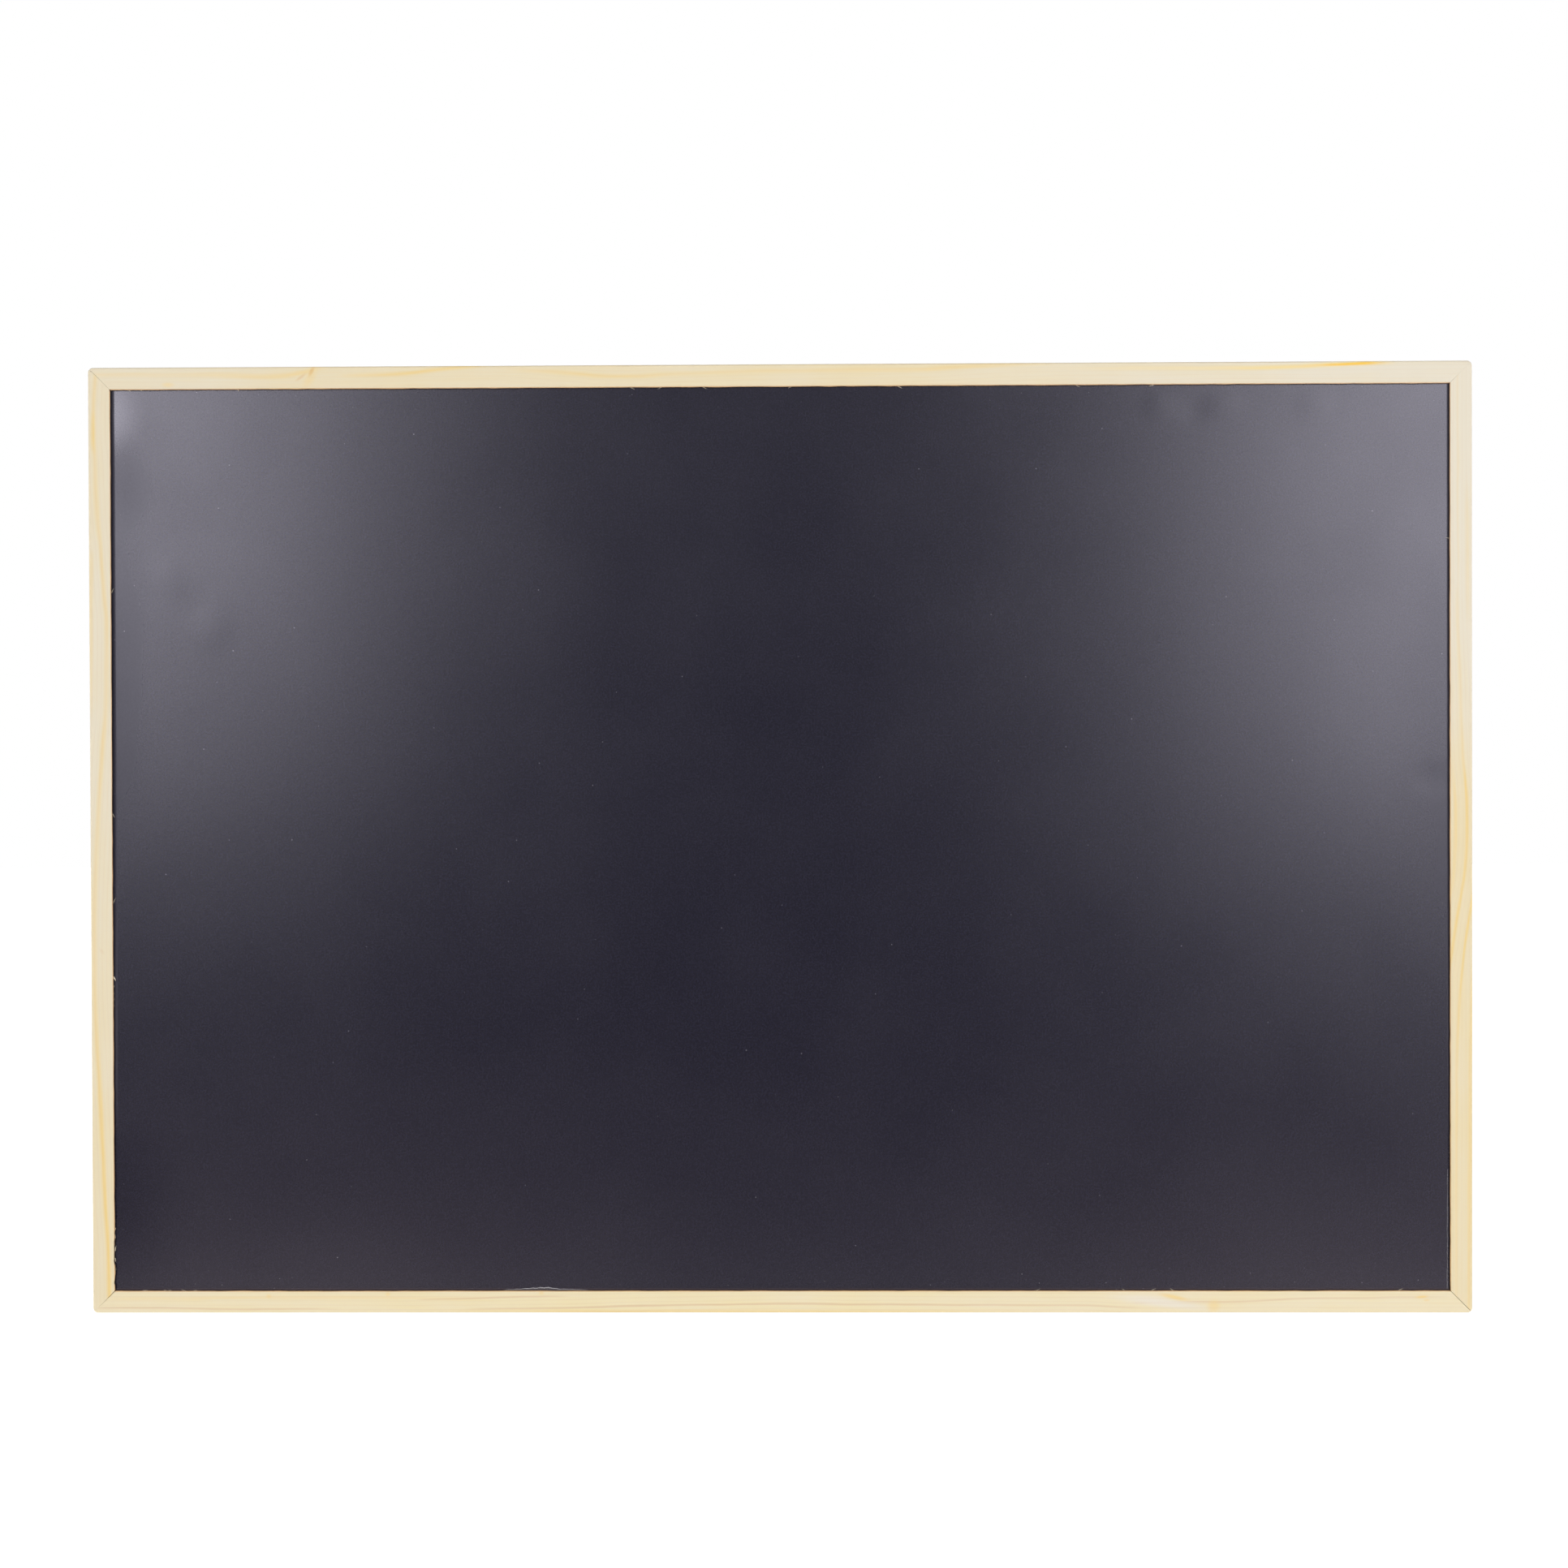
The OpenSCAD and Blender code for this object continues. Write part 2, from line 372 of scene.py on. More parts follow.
@dataclass(frozen=True)
class PineFinish:
    """Planed and sanded bare pine: pale cream wood with soft yellow bands and a streak of resin."""

    cream: str = "#E6DDCA"
    yellow: str = "#E8D39D"
    sawn: str = "#D89A55"
    # Colour of the painted shade on the lip's inner face, in the shadowed recess beside the film.
    lip_shade_colour: str = "#2A1417"
    sawn_level: float = 0.6
    sawn_rim: tuple[float, float] = (0.5, 0.15)
    lip_shade_level: float = 0.94
    lip_shade_rim: tuple[float, float] = (0.45, 0.25)
    lip_shade_top: tuple[float, float] = (0.15, 0.5)
    lip_shade_fade: float = 0.2
    width: float = 9.7
    lip: float = 1.8
    front: float = 12.0
    roughness: float = 0.62
    reach_low: float = -10.0
    reach_high: float = 20.0
    lean: float = 0.3
    slant: float = 1.3
    wander_length: float = 40.0
    wander_width: float = 7.0
    wander_reach: float = 1.2
    wander_tint: float = 0.5
    fibre_length: float = 25.0
    fibre_width: float = 0.45
    fibre_height: float = 0.06
    fibre_tint: float = 0.45
    tint_drop: float = 0.53
    streak_least: float = 0.6
    streak_gain: float = 0.8
    patch_core: float = 0.15
    line_spacing: float = 1.9
    line_start: float = 0.55
    line_end: float = 0.95

    def material(self, name: str, grain: RailGrain) -> Material:
        """Makes the pine of one rail.

        Args:
            name: the rail's name.
            grain: how its grain runs.

        Returns:
            The material, on Object coordinates.
        """
        made, tree, place = new_material("planed_pine_" + name)
        axes = add(tree, "SeparateXYZ", place.outputs["Object"])
        along = add(tree, "Math", axes.outputs[grain.along_axis], grain.along_sign / MM,
                    grain.along_start, operation="MULTIPLY_ADD")
        across = add(tree, "Math", axes.outputs[grain.across_axis], grain.across_sign / MM,
                     grain.across_start, operation="MULTIPLY_ADD")
        depth = add(tree, "Math", axes.outputs[1], 1 / MM, self.front, operation="MULTIPLY_ADD")
        space = add(tree, "CombineXYZ", along, across, depth)
        share = add(tree, "Math", along, grain.length, operation="DIVIDE")
        # The rings lean as they go into the wood, and wander by half a millimetre or so.
        slow = add(tree, "Mapping", {"Vector": space, "Scale": (
            1 / self.wander_length, 1 / self.wander_width, 1 / self.wander_width)})
        wander = add(tree, "TexNoise", {"Vector": slow, "Scale": 1.0, "Detail": 2.0})
        rings = add(tree, "Math", depth, self.lean, across, operation="MULTIPLY_ADD")
        rings = add(tree, "Math", wander, self.wander_reach, rings, operation="MULTIPLY_ADD")
        rings = add(tree, "Math", rings, self.wander_reach / 2, operation="SUBTRACT")
        thin = add(tree, "Mapping", {"Vector": space, "Scale": (
            1 / self.fibre_length, 1 / self.fibre_width, 1 / self.fibre_width)})
        fibre = add(tree, "TexNoise", {"Vector": thin, "Scale": 1.0, "Detail": 3.0, "Roughness": 0.6})

        wood = Wood(tree, grain, along, across, depth, space, share, rings, wander, fibre)
        colour = self.ground(wood)
        for band in grain.bands:
            colour = self.lay_band(wood, band, colour)
        for patch in grain.patches:
            colour = self.lay_patch(wood, patch, colour)
        colour = self.mark_edges(wood, self.draw_lines(wood, colour))
        relief = add(tree, "Bump", {
            "Strength": 0.25, "Distance": self.fibre_height * MM, "Height": fibre})
        skin = add(tree, "BsdfPrincipled", {
            "Base Color": colour, "Roughness": self.roughness, "Normal": relief})
        add(tree, "OutputMaterial", skin)
        return made

    def ground(self, wood: Wood) -> Node:
        """Mixes cream and yellow wood, more or less of each along the rail.

        Args:
            wood: the rail's wood.

        Returns:
            The colour so far.
        """
        tree, length = wood.tree, wood.grain.length
        slant = add(tree, "Math", wood.across, self.slant, wood.along, operation="MULTIPLY_ADD")
        slant = add(tree, "Math", slant, length, operation="DIVIDE")
        tint = add(tree, "FloatCurve", {"Value": slant})
        set_points(tint.mapping, tuple((a / length, v) for a, v in wood.grain.tint))
        warm = add(tree, "Math", wood.fibre, self.fibre_tint, tint, operation="MULTIPLY_ADD")
        warm = add(tree, "Math", wood.wander, self.wander_tint, warm, operation="MULTIPLY_ADD")
        warm = add(tree, "Math", warm, self.tint_drop, operation="SUBTRACT", use_clamp=True)
        return add(tree, "Mix", warm, linear(self.cream), linear(self.yellow), data_type="RGBA")

    def off_path(self, wood: Wood, band: Band) -> Node:
        """Measures how far a point is from a band's path.

        Args:
            wood: the rail's wood.
            band: the band.

        Returns:
            A node that gives the distance across the rings in millimetres, negative on the outer side.
        """
        tree, span = wood.tree, self.reach_high - self.reach_low
        path = add(tree, "FloatCurve", {"Value": wood.share})
        set_points(path.mapping, tuple(
            (a / wood.grain.length, (t - self.reach_low) / span) for a, t in band.path))
        middle = add(tree, "Math", path, span, self.reach_low, operation="MULTIPLY_ADD")
        return add(tree, "Math", wood.rings, middle, operation="SUBTRACT")

    def lay_band(self, wood: Wood, band: Band, colour: Feed) -> Node:
        """Tints one soft band of grain, streaked by the fibres.

        Args:
            wood: the rail's wood.
            band: the band.
            colour: the colour so far.

        Returns:
            The colour with the band.
        """
        tree = wood.tree
        away = add(tree, "Math", self.off_path(wood, band), operation="ABSOLUTE")
        shape = add(tree, "MapRange", away, 0.0, band.half_width, 1.0, 0.0,
                    interpolation_type="SMOOTHSTEP")
        strong = add(tree, "FloatCurve", {"Value": wood.share})
        set_points(strong.mapping, tuple((a / wood.grain.length, v) for a, v in band.strength))
        amount = add(tree, "Math", shape, strong, operation="MULTIPLY")
        streaks = add(tree, "Math", wood.fibre, self.streak_gain, self.streak_least,
                      operation="MULTIPLY_ADD")
        amount = add(tree, "Math", amount, streaks, operation="MULTIPLY", use_clamp=True)
        return add(tree, "Mix", amount, colour, linear(band.hue.value), data_type="RGBA")

    def lay_patch(self, wood: Wood, patch: Patch, colour: Feed) -> Node:
        """Tints one knot mark or cloud of colour.

        Args:
            wood: the rail's wood.
            patch: the patch.
            colour: the colour so far.

        Returns:
            The colour with the patch.
        """
        tree = wood.tree
        local = add(tree, "Mapping", {
            "Vector": wood.space, "Location": (patch.along, patch.across, 0.0),
            "Rotation": (0.0, 0.0, math.radians(patch.turn)),
            "Scale": (patch.half_length, patch.half_width, self.front)}, vector_type="TEXTURE")
        away = add(tree, "VectorMath", local, operation="LENGTH")
        amount = add(tree, "MapRange", away, self.patch_core, 1.0, patch.strength, 0.0,
                     interpolation_type="SMOOTHSTEP")
        return add(tree, "Mix", amount, colour, linear(patch.hue.value), data_type="RGBA")

    def draw_lines(self, wood: Wood, colour: Feed) -> Node:
        """Draws the faint, broken growth lines, which run with the rail's first band.

        Args:
            wood: the rail's wood.
            colour: the colour so far.

        Returns:
            The colour with the lines.
        """
        tree = wood.tree
        place = self.off_path(wood, wood.grain.bands[0])
        turns = add(tree, "Math", place, 1 / self.line_spacing, operation="MULTIPLY")
        ring = add(tree, "Math", turns, operation="FRACT")
        line = add(tree, "MapRange", ring, self.line_start, self.line_end, 0.0, wood.grain.fine_lines,
                   interpolation_type="SMOOTHSTEP")
        amount = add(tree, "Math", line, wood.wander, operation="MULTIPLY")
        return add(tree, "Mix", amount, colour, linear(Hue.RED.value), data_type="RGBA")

    def mark_edges(self, wood: Wood, colour: Feed) -> Node:
        """Warms the sawn inner edge, and paints shade on the lip's inner face, which stands in the recess
        beside the film.

        Args:
            wood: the rail's wood.
            colour: the colour so far.

        Returns:
            The finished colour.
        """
        tree, across, depth, width = wood.tree, wood.across, wood.depth, self.width
        far, close = self.sawn_rim
        edge = add(tree, "MapRange", across, width - far, width - close, 0.0, self.sawn_level)
        warmed = add(tree, "Mix", edge, colour, linear(self.sawn), data_type="RGBA")
        # Painted shade: the lip's inner face is darkened from just behind its front edge to the lip's
        # depth, as it lies in shadow.
        far, close = self.lip_shade_rim
        inner = add(tree, "MapRange", across, width - far, width - close, 0.0, self.lip_shade_level)
        below = add(tree, "MapRange", depth, *self.lip_shade_top)
        above = add(tree, "MapRange", depth, self.lip, self.lip + self.lip_shade_fade, 1.0, 0.0)
        lip_shade = add(tree, "Math", below, above, operation="MULTIPLY")
        lip_shade = add(tree, "Math", lip_shade, inner, operation="MULTIPLY")
        return add(tree, "Mix", lip_shade, warmed, linear(self.lip_shade_colour), data_type="RGBA")


@dataclass(frozen=True)
class SheenMark:
    """A smoother or duller place on the film: its middle, its half sizes in mm, its added roughness."""

    right: float
    up: float
    half_width: float
    half_height: float
    change: float


@dataclass(frozen=True)
class Dust:
    """A scatter of dust: a speck's cell and its largest size in mm, and the cells' turn in degrees."""

    cell: float
    largest: float
    turn: float


@dataclass(frozen=True)
class ChalkFilmFinish:
    """Satin black vinyl writing film: near-black violet with a soft sheen, fine grain and some dust."""

    black: str = "#121120"
    worn_black: str = "#1B1A29"
    wear: tuple[float, float] = (0.36, 0.64)
    # Colour of the painted reflection of the bottom lip, along the film's foot.
    dust: str = "#7C7A82"
    foot_reflection: str = "#54474B"
    scratch: str = "#64626A"
    roughness: float = 0.25
    rough_swing: float = 0.012
    rough_noise: tuple[float, float] = (0.3, 0.7)
    sheen_tint: str = "#F4F0FF"
    grain_size: float = 0.8
    grain_height: float = 0.02
    sheen_size: float = 60.0
    # The way to each side, the reach of its dull strip and the added roughness.
    dull_sides: tuple[tuple[int, float, float], ...] = ((-1, 1.8, 0.55), (1, 1.2, 0.35))
    dull_rim: float = 0.3
    dull_foot: tuple[float, float] = (-330.0, -230.0)
    half_opening: tuple[float, float] = (290.3, 196.3)
    middle_up: float = -201.15
    all_over: Dust = Dust(24.0, 0.22, 17.0)
    by_lips: Dust = Dust(5.0, 0.2, 31.0)
    bare_cells: float = 0.62
    lip_reach: tuple[float, float] = (16.0, 3.0)
    lip_shares: tuple[float, float, float] = (1.0, 0.7, 0.45)
    foot_reflection_reach: tuple[float, float] = (1.1, 0.3)
    foot_reflection_level: float = 0.5
    scratch_cell: float = 70.0
    scratch_half_length: float = 2.6
    scratch_half_width: float = 0.11
    scratch_core: float = 0.3
    scratch_chance: float = 0.55
    marks: tuple[SheenMark, ...] = (
        SheenMark(-291.0, -15.0, 18.0, 22.0, -0.075), SheenMark(-284.0, -46.0, 16.0, 24.0, 0.03),
        SheenMark(-291.0, -140.0, 22.0, 130.0, 0.03), SheenMark(-285.0, -115.0, 90.0, 105.0, 0.025),
        SheenMark(-291.0, -372.0, 40.0, 60.0, -0.05), SheenMark(291.0, -190.0, 36.0, 140.0, 0.035))

    def material(self) -> Material:
        """Makes the film.

        Returns:
            The material, on Object coordinates.
        """
        made, tree, place = new_material("satin_vinyl_film")
        space = add(tree, "VectorMath", place.outputs["Object"], 1 / MM, operation="SCALE")
        axes = add(tree, "SeparateXYZ", space)
        plane = add(tree, "CombineXYZ", axes.outputs[0], axes.outputs[2])
        # The grain of the satin skin is drawn a little coarse so that it shows.
        grain = add(tree, "TexNoise", {"Vector": space, "Scale": 1 / self.grain_size, "Detail": 2.0})
        worn = add(tree, "MapRange", grain, *self.wear)
        ground = add(tree, "Mix", worn, linear(self.black), linear(self.worn_black), data_type="RGBA")
        colour = self.scratch_lines(tree, plane, self.lay_dust_and_reflection(tree, plane, axes, ground))
        relief = add(tree, "Bump", {
            "Strength": 0.25, "Distance": self.grain_height * MM, "Height": grain})
        skin = add(tree, "BsdfPrincipled", {
            "Base Color": colour, "Roughness": self.lay_sheen(tree, space, plane, axes),
            "Specular Tint": linear(self.sheen_tint), "Normal": relief})
        add(tree, "OutputMaterial", skin)
        return made

    def lay_sheen(self, tree: NodeTree, space: Feed, plane: Feed, axes: Node) -> Node:
        """Makes the sheen a little uneven, with smoother and duller places.

        Args:
            tree: the material's nodes.
            space: right, depth and up in millimetres.
            plane: right and up.
            axes: the node that gives right, depth and up one by one.

        Returns:
            The roughness.
        """
        slow = add(tree, "TexNoise", {"Vector": space, "Scale": 1 / self.sheen_size, "Detail": 3.0})
        rough = add(tree, "MapRange", slow, *self.rough_noise, self.roughness - self.rough_swing,
                    self.roughness + self.rough_swing)
        for mark in self.marks:
            local = add(tree, "Mapping", {
                "Vector": plane, "Location": (mark.right, mark.up, 0.0),
                "Scale": (mark.half_width, mark.half_height, 1.0)}, vector_type="TEXTURE")
            away = add(tree, "VectorMath", local, operation="LENGTH")
            change = add(tree, "MapRange", away, 0.0, 1.0, mark.change, 0.0,
                         interpolation_type="SMOOTHSTEP")
            rough = add(tree, "Math", rough, change, operation="ADD")
        # Beside the stiles, where a duster doesn't reach, it is dull, but for the foot.
        higher = add(tree, "MapRange", axes.outputs[2], *self.dull_foot)
        half_width = self.half_opening[0]
        for side, reach, change in self.dull_sides:
            aside = add(tree, "Math", axes.outputs[0], side, operation="MULTIPLY")
            dull = add(tree, "MapRange", aside, half_width - reach, half_width - self.dull_rim, 0.0,
                       change, interpolation_type="SMOOTHSTEP")
            rough = add(tree, "Math", dull, higher, rough, operation="MULTIPLY_ADD")
        return rough

    def lay_dust_and_reflection(self, tree: NodeTree, plane: Feed, axes: Node, colour: Feed) -> Node:
        """Scatters specks of dust, a few all over and more where it gathers along the lips, and paints a
        reflection of the bottom lip along the foot.

        Args:
            tree: the material's nodes.
            plane: right and up in millimetres.
            axes: the node that gives right, depth and up one by one.
            colour: the colour so far.

        Returns:
            The film's colour with its dust and the painted reflection.
        """
        half_width, half_height = self.half_opening
        aside = add(tree, "Math", axes.outputs[0], operation="ABSOLUTE")
        up = add(tree, "Math", axes.outputs[2], self.middle_up, operation="SUBTRACT")
        down = add(tree, "Math", up, -1.0, operation="MULTIPLY")
        # Most of it lies by the bottom lip, some by the top one, and little at the sides.
        far, close = self.lip_reach
        by_lip: Feed = 0.0
        for axis, half, most in zip(
                (down, up, aside), (half_height, half_height, half_width), self.lip_shares):
            near = add(tree, "MapRange", axis, half - far, half - close, 0.0, most)
            by_lip = add(tree, "Math", near, by_lip, operation="MAXIMUM")
        # A painted reflection of the bottom lip lies along the foot: a warm, paler line just above the
        # lip.
        far, close = self.foot_reflection_reach
        foot = add(tree, "MapRange", down, half_height - far, half_height - close, 0.0, self.foot_reflection_level)
        colour = add(tree, "Mix", foot, colour, linear(self.foot_reflection), data_type="RGBA")
        for dust, where in ((self.all_over, 1.0), (self.by_lips, by_lip)):
            # The cells are turned, so that no row of specks runs along a lip.
            turned = add(tree, "Mapping", {
                "Vector": plane, "Rotation": (0.0, 0.0, math.radians(dust.turn))})
            cells = add(tree, "TexVoronoi", {"Vector": turned, "Scale": 1 / dust.cell},
                        voronoi_dimensions="2D")
            chance = add(tree, "SeparateXYZ", cells.outputs["Color"])
            size = add(tree, "MapRange", chance.outputs[0], self.bare_cells, 1.0, 0.0,
                       dust.largest / dust.cell)
            size = add(tree, "Math", size, where, operation="MULTIPLY")
            inside = add(tree, "Math", cells.outputs["Distance"], size, operation="LESS_THAN")
            colour = add(tree, "Mix", inside, colour, linear(self.dust), data_type="RGBA")
        return colour

    def scratch_lines(self, tree: NodeTree, plane: Feed, colour: Feed) -> Node:
        """Draws a few short pale scratches, each turned its own way in its own cell.

        Args:
            tree: the material's nodes.
            plane: right and up in millimetres.
            colour: the colour so far.

        Returns:
            The colour with the scratches.
        """
        cells = add(tree, "TexVoronoi", {"Vector": plane, "Scale": 1 / self.scratch_cell},
                    voronoi_dimensions="2D")
        middle = add(tree, "VectorMath", cells.outputs["Position"], self.scratch_cell,
                     operation="SCALE")
        local = add(tree, "VectorMath", plane, middle, operation="SUBTRACT")
        chance = add(tree, "SeparateXYZ", cells.outputs["Color"])
        angle = add(tree, "Math", chance.outputs[0], math.pi, operation="MULTIPLY")
        turned = add(tree, "VectorRotate", {"Vector": local, "Angle": angle}, rotation_type="Z_AXIS")
        shape = add(tree, "VectorMath", turned,
                    (1 / self.scratch_half_length, 1 / self.scratch_half_width, 0.0),
                    operation="MULTIPLY")
        away = add(tree, "VectorMath", shape, operation="LENGTH")
        inside = add(tree, "MapRange", away, self.scratch_core, 1.0, 1.0, 0.0)
        some = add(tree, "Math", chance.outputs[1], self.scratch_chance, operation="GREATER_THAN")
        amount = add(tree, "Math", inside, some, operation="MULTIPLY")
        return add(tree, "Mix", amount, colour, linear(self.scratch), data_type="RGBA")


@dataclass(frozen=True)
class HardboardFinish:
    """Wet-pressed hardboard: brown felted fibre with the mark of the pressing screen on its back."""

    brown: str = "#8A6645"
    dark: str = "#5A3F29"
    pale: str = "#A98560"
    roughness: float = 0.85
    bundle_length: float = 7.0
    bundle_width: float = 0.6
    bundle_turns: tuple[float, ...] = (20.0, 80.0, 140.0)
    bundle_range: tuple[float, float] = (0.58, 0.78)
    bundle_level: float = 0.55
    bundle_height: float = 0.6
    fleck_size: float = 1.3
    cloud_size: float = 90.0
    cloud_share: float = 0.35
    shade_range: tuple[float, float] = (0.5, 0.9)
    wire_spacing: float = 2.4
    wire_height: float = 0.35
    relief_height: float = 0.2

    def material(self) -> Material:
        """Makes the hardboard.

        Returns:
            The material, on Object coordinates.
        """
        made, tree, place = new_material("pressed_hardboard")
        space = add(tree, "VectorMath", place.outputs["Object"], 1 / MM, operation="SCALE")
        # Felted bundles of fibre lie in three directions.
        strands: Feed = 0.0
        for turn in self.bundle_turns:
            laid = add(tree, "Mapping", {"Vector": space, "Rotation": (0.0, math.radians(turn), 0.0)})
            laid = add(tree, "Mapping", {
                "Vector": laid, "Scale": (1 / self.bundle_length, 1.0, 1 / self.bundle_width)})
            bundle = add(tree, "TexNoise", {"Vector": laid, "Scale": 1.0, "Detail": 2.0})
            strands = add(tree, "Math", strands, bundle, operation="MAXIMUM")
        fleck = add(tree, "TexNoise", {"Vector": space, "Scale": 1 / self.fleck_size, "Detail": 5.0,
                                       "Roughness": 0.7})
        cloud = add(tree, "TexNoise", {"Vector": space, "Scale": 1 / self.cloud_size, "Detail": 2.0})
        shade = add(tree, "Math", cloud, self.cloud_share, fleck, operation="MULTIPLY_ADD")
        shade = add(tree, "MapRange", shade, *self.shade_range)
        ground = add(tree, "Mix", shade, linear(self.dark), linear(self.brown), data_type="RGBA")
        lit = add(tree, "MapRange", strands, *self.bundle_range, 0.0, self.bundle_level)
        colour = add(tree, "Mix", lit, ground, linear(self.pale), data_type="RGBA")
        # Dimples of the screen, really about 1.5 mm apart and drawn wider so that they show.
        axes = add(tree, "SeparateXYZ", space)
        waves = []
        for axis in (0, 2):
            turns = add(tree, "Math", axes.outputs[axis], 2 * math.pi / self.wire_spacing,
                        operation="MULTIPLY")
            waves.append(add(tree, "Math", turns, operation="SINE"))
        screen = add(tree, "Math", waves[0], waves[1], operation="MULTIPLY")
        height = add(tree, "Math", screen, self.wire_height, fleck, operation="MULTIPLY_ADD")
        height = add(tree, "Math", strands, self.bundle_height, height, operation="MULTIPLY_ADD")
        relief = add(tree, "Bump", {
            "Strength": 0.8, "Distance": self.relief_height * MM, "Height": height})
        skin = add(tree, "BsdfPrincipled", {
            "Base Color": colour, "Roughness": self.roughness, "Normal": relief})
        add(tree, "OutputMaterial", skin)
        return made


@dataclass(frozen=True)
class SteelFinish:
    """Steel with fine rub marks: bright zinc on the hangers, bare and duller on the nails."""

    name: str = "zinc_plated_steel"
    colour: str = "#C8CACB"
    dull: str = "#9FA1A0"
    roughness: float = 0.27
    rough_swing: tuple[float, float] = (-0.06, 0.12)
    mark_size: float = 1.2
    mark_height: float = 0.02
    mark_range: tuple[float, float] = (0.35, 0.7)
    rough_range: tuple[float, float] = (0.3, 0.7)

    def material(self) -> Material:
        """Makes the steel.

        Returns:
            The material, on Object coordinates.
        """
        made, tree, place = new_material(self.name)
        cloud = add(tree, "TexNoise", {
            "Vector": place.outputs["Object"], "Scale": 1 / (self.mark_size * MM), "Detail": 4.0,
            "Roughness": 0.65})
        worn = add(tree, "MapRange", cloud, *self.mark_range)
        colour = add(tree, "Mix", worn, linear(self.colour), linear(self.dull), data_type="RGBA")
        rough = add(tree, "MapRange", cloud, *self.rough_range,
                    *(self.roughness + swing for swing in self.rough_swing))
        relief = add(tree, "Bump", {
            "Strength": 0.15, "Distance": self.mark_height * MM, "Height": cloud})
        skin = add(tree, "BsdfPrincipled", {
            "Base Color": colour, "Metallic": 1.0, "Roughness": rough, "Normal": relief})
        add(tree, "OutputMaterial", skin)
        return made


@dataclass(frozen=True)
class FibreFinish:
    """Torn pine fibre: paler and rougher than the planed face."""

    pale: str = "#F3ECDC"
    warm: str = "#E6D6B4"
    roughness: float = 0.85
    fleck_size: float = 3.0

    def material(self) -> Material:
        """Makes the fibre.

        Returns:
            The material, on Object coordinates.
        """
        made, tree, place = new_material("torn_pine_fibre")
        fleck = add(tree, "TexNoise", {"Vector": place.outputs["Object"], "Detail": 3.0,
                                       "Scale": 1 / (self.fleck_size * MM)})
        colour = add(tree, "Mix", fleck, linear(self.pale), linear(self.warm), data_type="RGBA")
        skin = add(tree, "BsdfPrincipled", {"Base Color": colour, "Roughness": self.roughness})
        add(tree, "OutputMaterial", skin)
        return made


@dataclass(frozen=True)
class ClearFilmFinish:
    """Clear polyethylene cover film, the last of it: all but invisible, with a hazy, stretched rim."""

    haze: str = "#A5A3A9"
    crease: str = "#D9D7DC"
    alpha: float = 0.06
    rim_alpha: float = 0.7
    rim: tuple[float, float] = (0.84, 0.97)
    roughness: float = 0.22
    fold_size: float = 1.5
    fold_height: float = 0.1

    def material(self) -> Material:
        """Makes the clear film.

        Returns:
            The material, on Object coordinates and, for the rim, the shred's own UV map.
        """
        made, tree, place = new_material("clear_polyethylene_film")
        across = add(tree, "SeparateXYZ", place.outputs["UV"])
        rim = add(tree, "MapRange", across.outputs[1], *self.rim, self.alpha, self.rim_alpha)
        fold = add(tree, "TexNoise", {"Vector": place.outputs["Object"], "Detail": 3.0,
                                      "Scale": 1 / (self.fold_size * MM)})
        colour = add(tree, "Mix", fold, linear(self.haze), linear(self.crease), data_type="RGBA")
        relief = add(tree, "Bump", {
            "Strength": 0.5, "Distance": self.fold_height * MM, "Height": fold})
        skin = add(tree, "BsdfPrincipled", {
            "Base Color": colour, "Roughness": self.roughness, "Alpha": rim, "Normal": relief})
        add(tree, "OutputMaterial", skin)
        return made


# The frame

TOP_GRAIN = RailGrain(
    along_axis=0, along_sign=1, along_start=300.0, across_axis=2, across_sign=-1, across_start=4.85,
    length=600.0,
    tint=((0, 0.3), (60, 0.3), (100, 0.5), (200, 0.5), (330, 0.55), (400, 0.4), (480, 0.24),
          (600, 0.06)),
    bands=(
        Band(((180, 1.0), (200, 2.7), (215, 4.0), (225, 4.8), (237, 4.8), (252, 4.2), (276, 3.5),
              (300, 2.9), (356, 2.7), (384, 1.3), (400, 0.6), (420, 0.1)),
             ((175, 0.0), (200, 0.35), (225, 0.55), (240, 0.5), (276, 0.3), (356, 0.35), (375, 0.55),
              (395, 0.45), (425, 0.0))),
        Band(((0, 2.9), (53, 3.5), (77, 4.2), (93, 2.6), (99, 0.6)),
             ((0, 0.2), (50, 0.3), (75, 0.5), (93, 0.55), (100, 0.3), (106, 0.0)), 1.9),
        Band(((110, 4.0), (133, 3.7), (149, 2.0), (157, 1.1), (166, 0.4), (175, -0.5)),
             ((108, 0.0), (125, 0.5), (150, 0.7), (166, 0.55), (176, 0.0)), 1.5),
        Band(((415, 1.6), (451, 2.6), (499, 2.8), (523, 2.2), (540, 1.5), (560, 0.7)),
             ((415, 0.0), (451, 0.25), (495, 0.5), (515, 0.8), (540, 0.7), (570, 0.0)), 1.6, Hue.STRAW),
        Band(((505, 2.7), (523, 2.2), (540, 1.6), (550, 1.2), (560, 0.9), (570, 0.5)),
             ((524, 0.0), (534, 0.3), (542, 0.9), (550, 1.0), (556, 0.75), (561, 0.3), (567, 0.0)),
             1.0, Hue.RESIN)),
    patches=(Patch(97.6, 2.2, 3.4, 1.3, -62.0, 0.7, Hue.AMBER),
             Patch(93.0, 4.6, 4.0, 1.0, -35.0, 0.4, Hue.AMBER), Patch(97.0, 5.0, 6.5, 3.0, -56.0, 0.4),
             Patch(35.0, 7.6, 4.0, 1.6, 0.0, 0.45)),
    fine_lines=0.1)
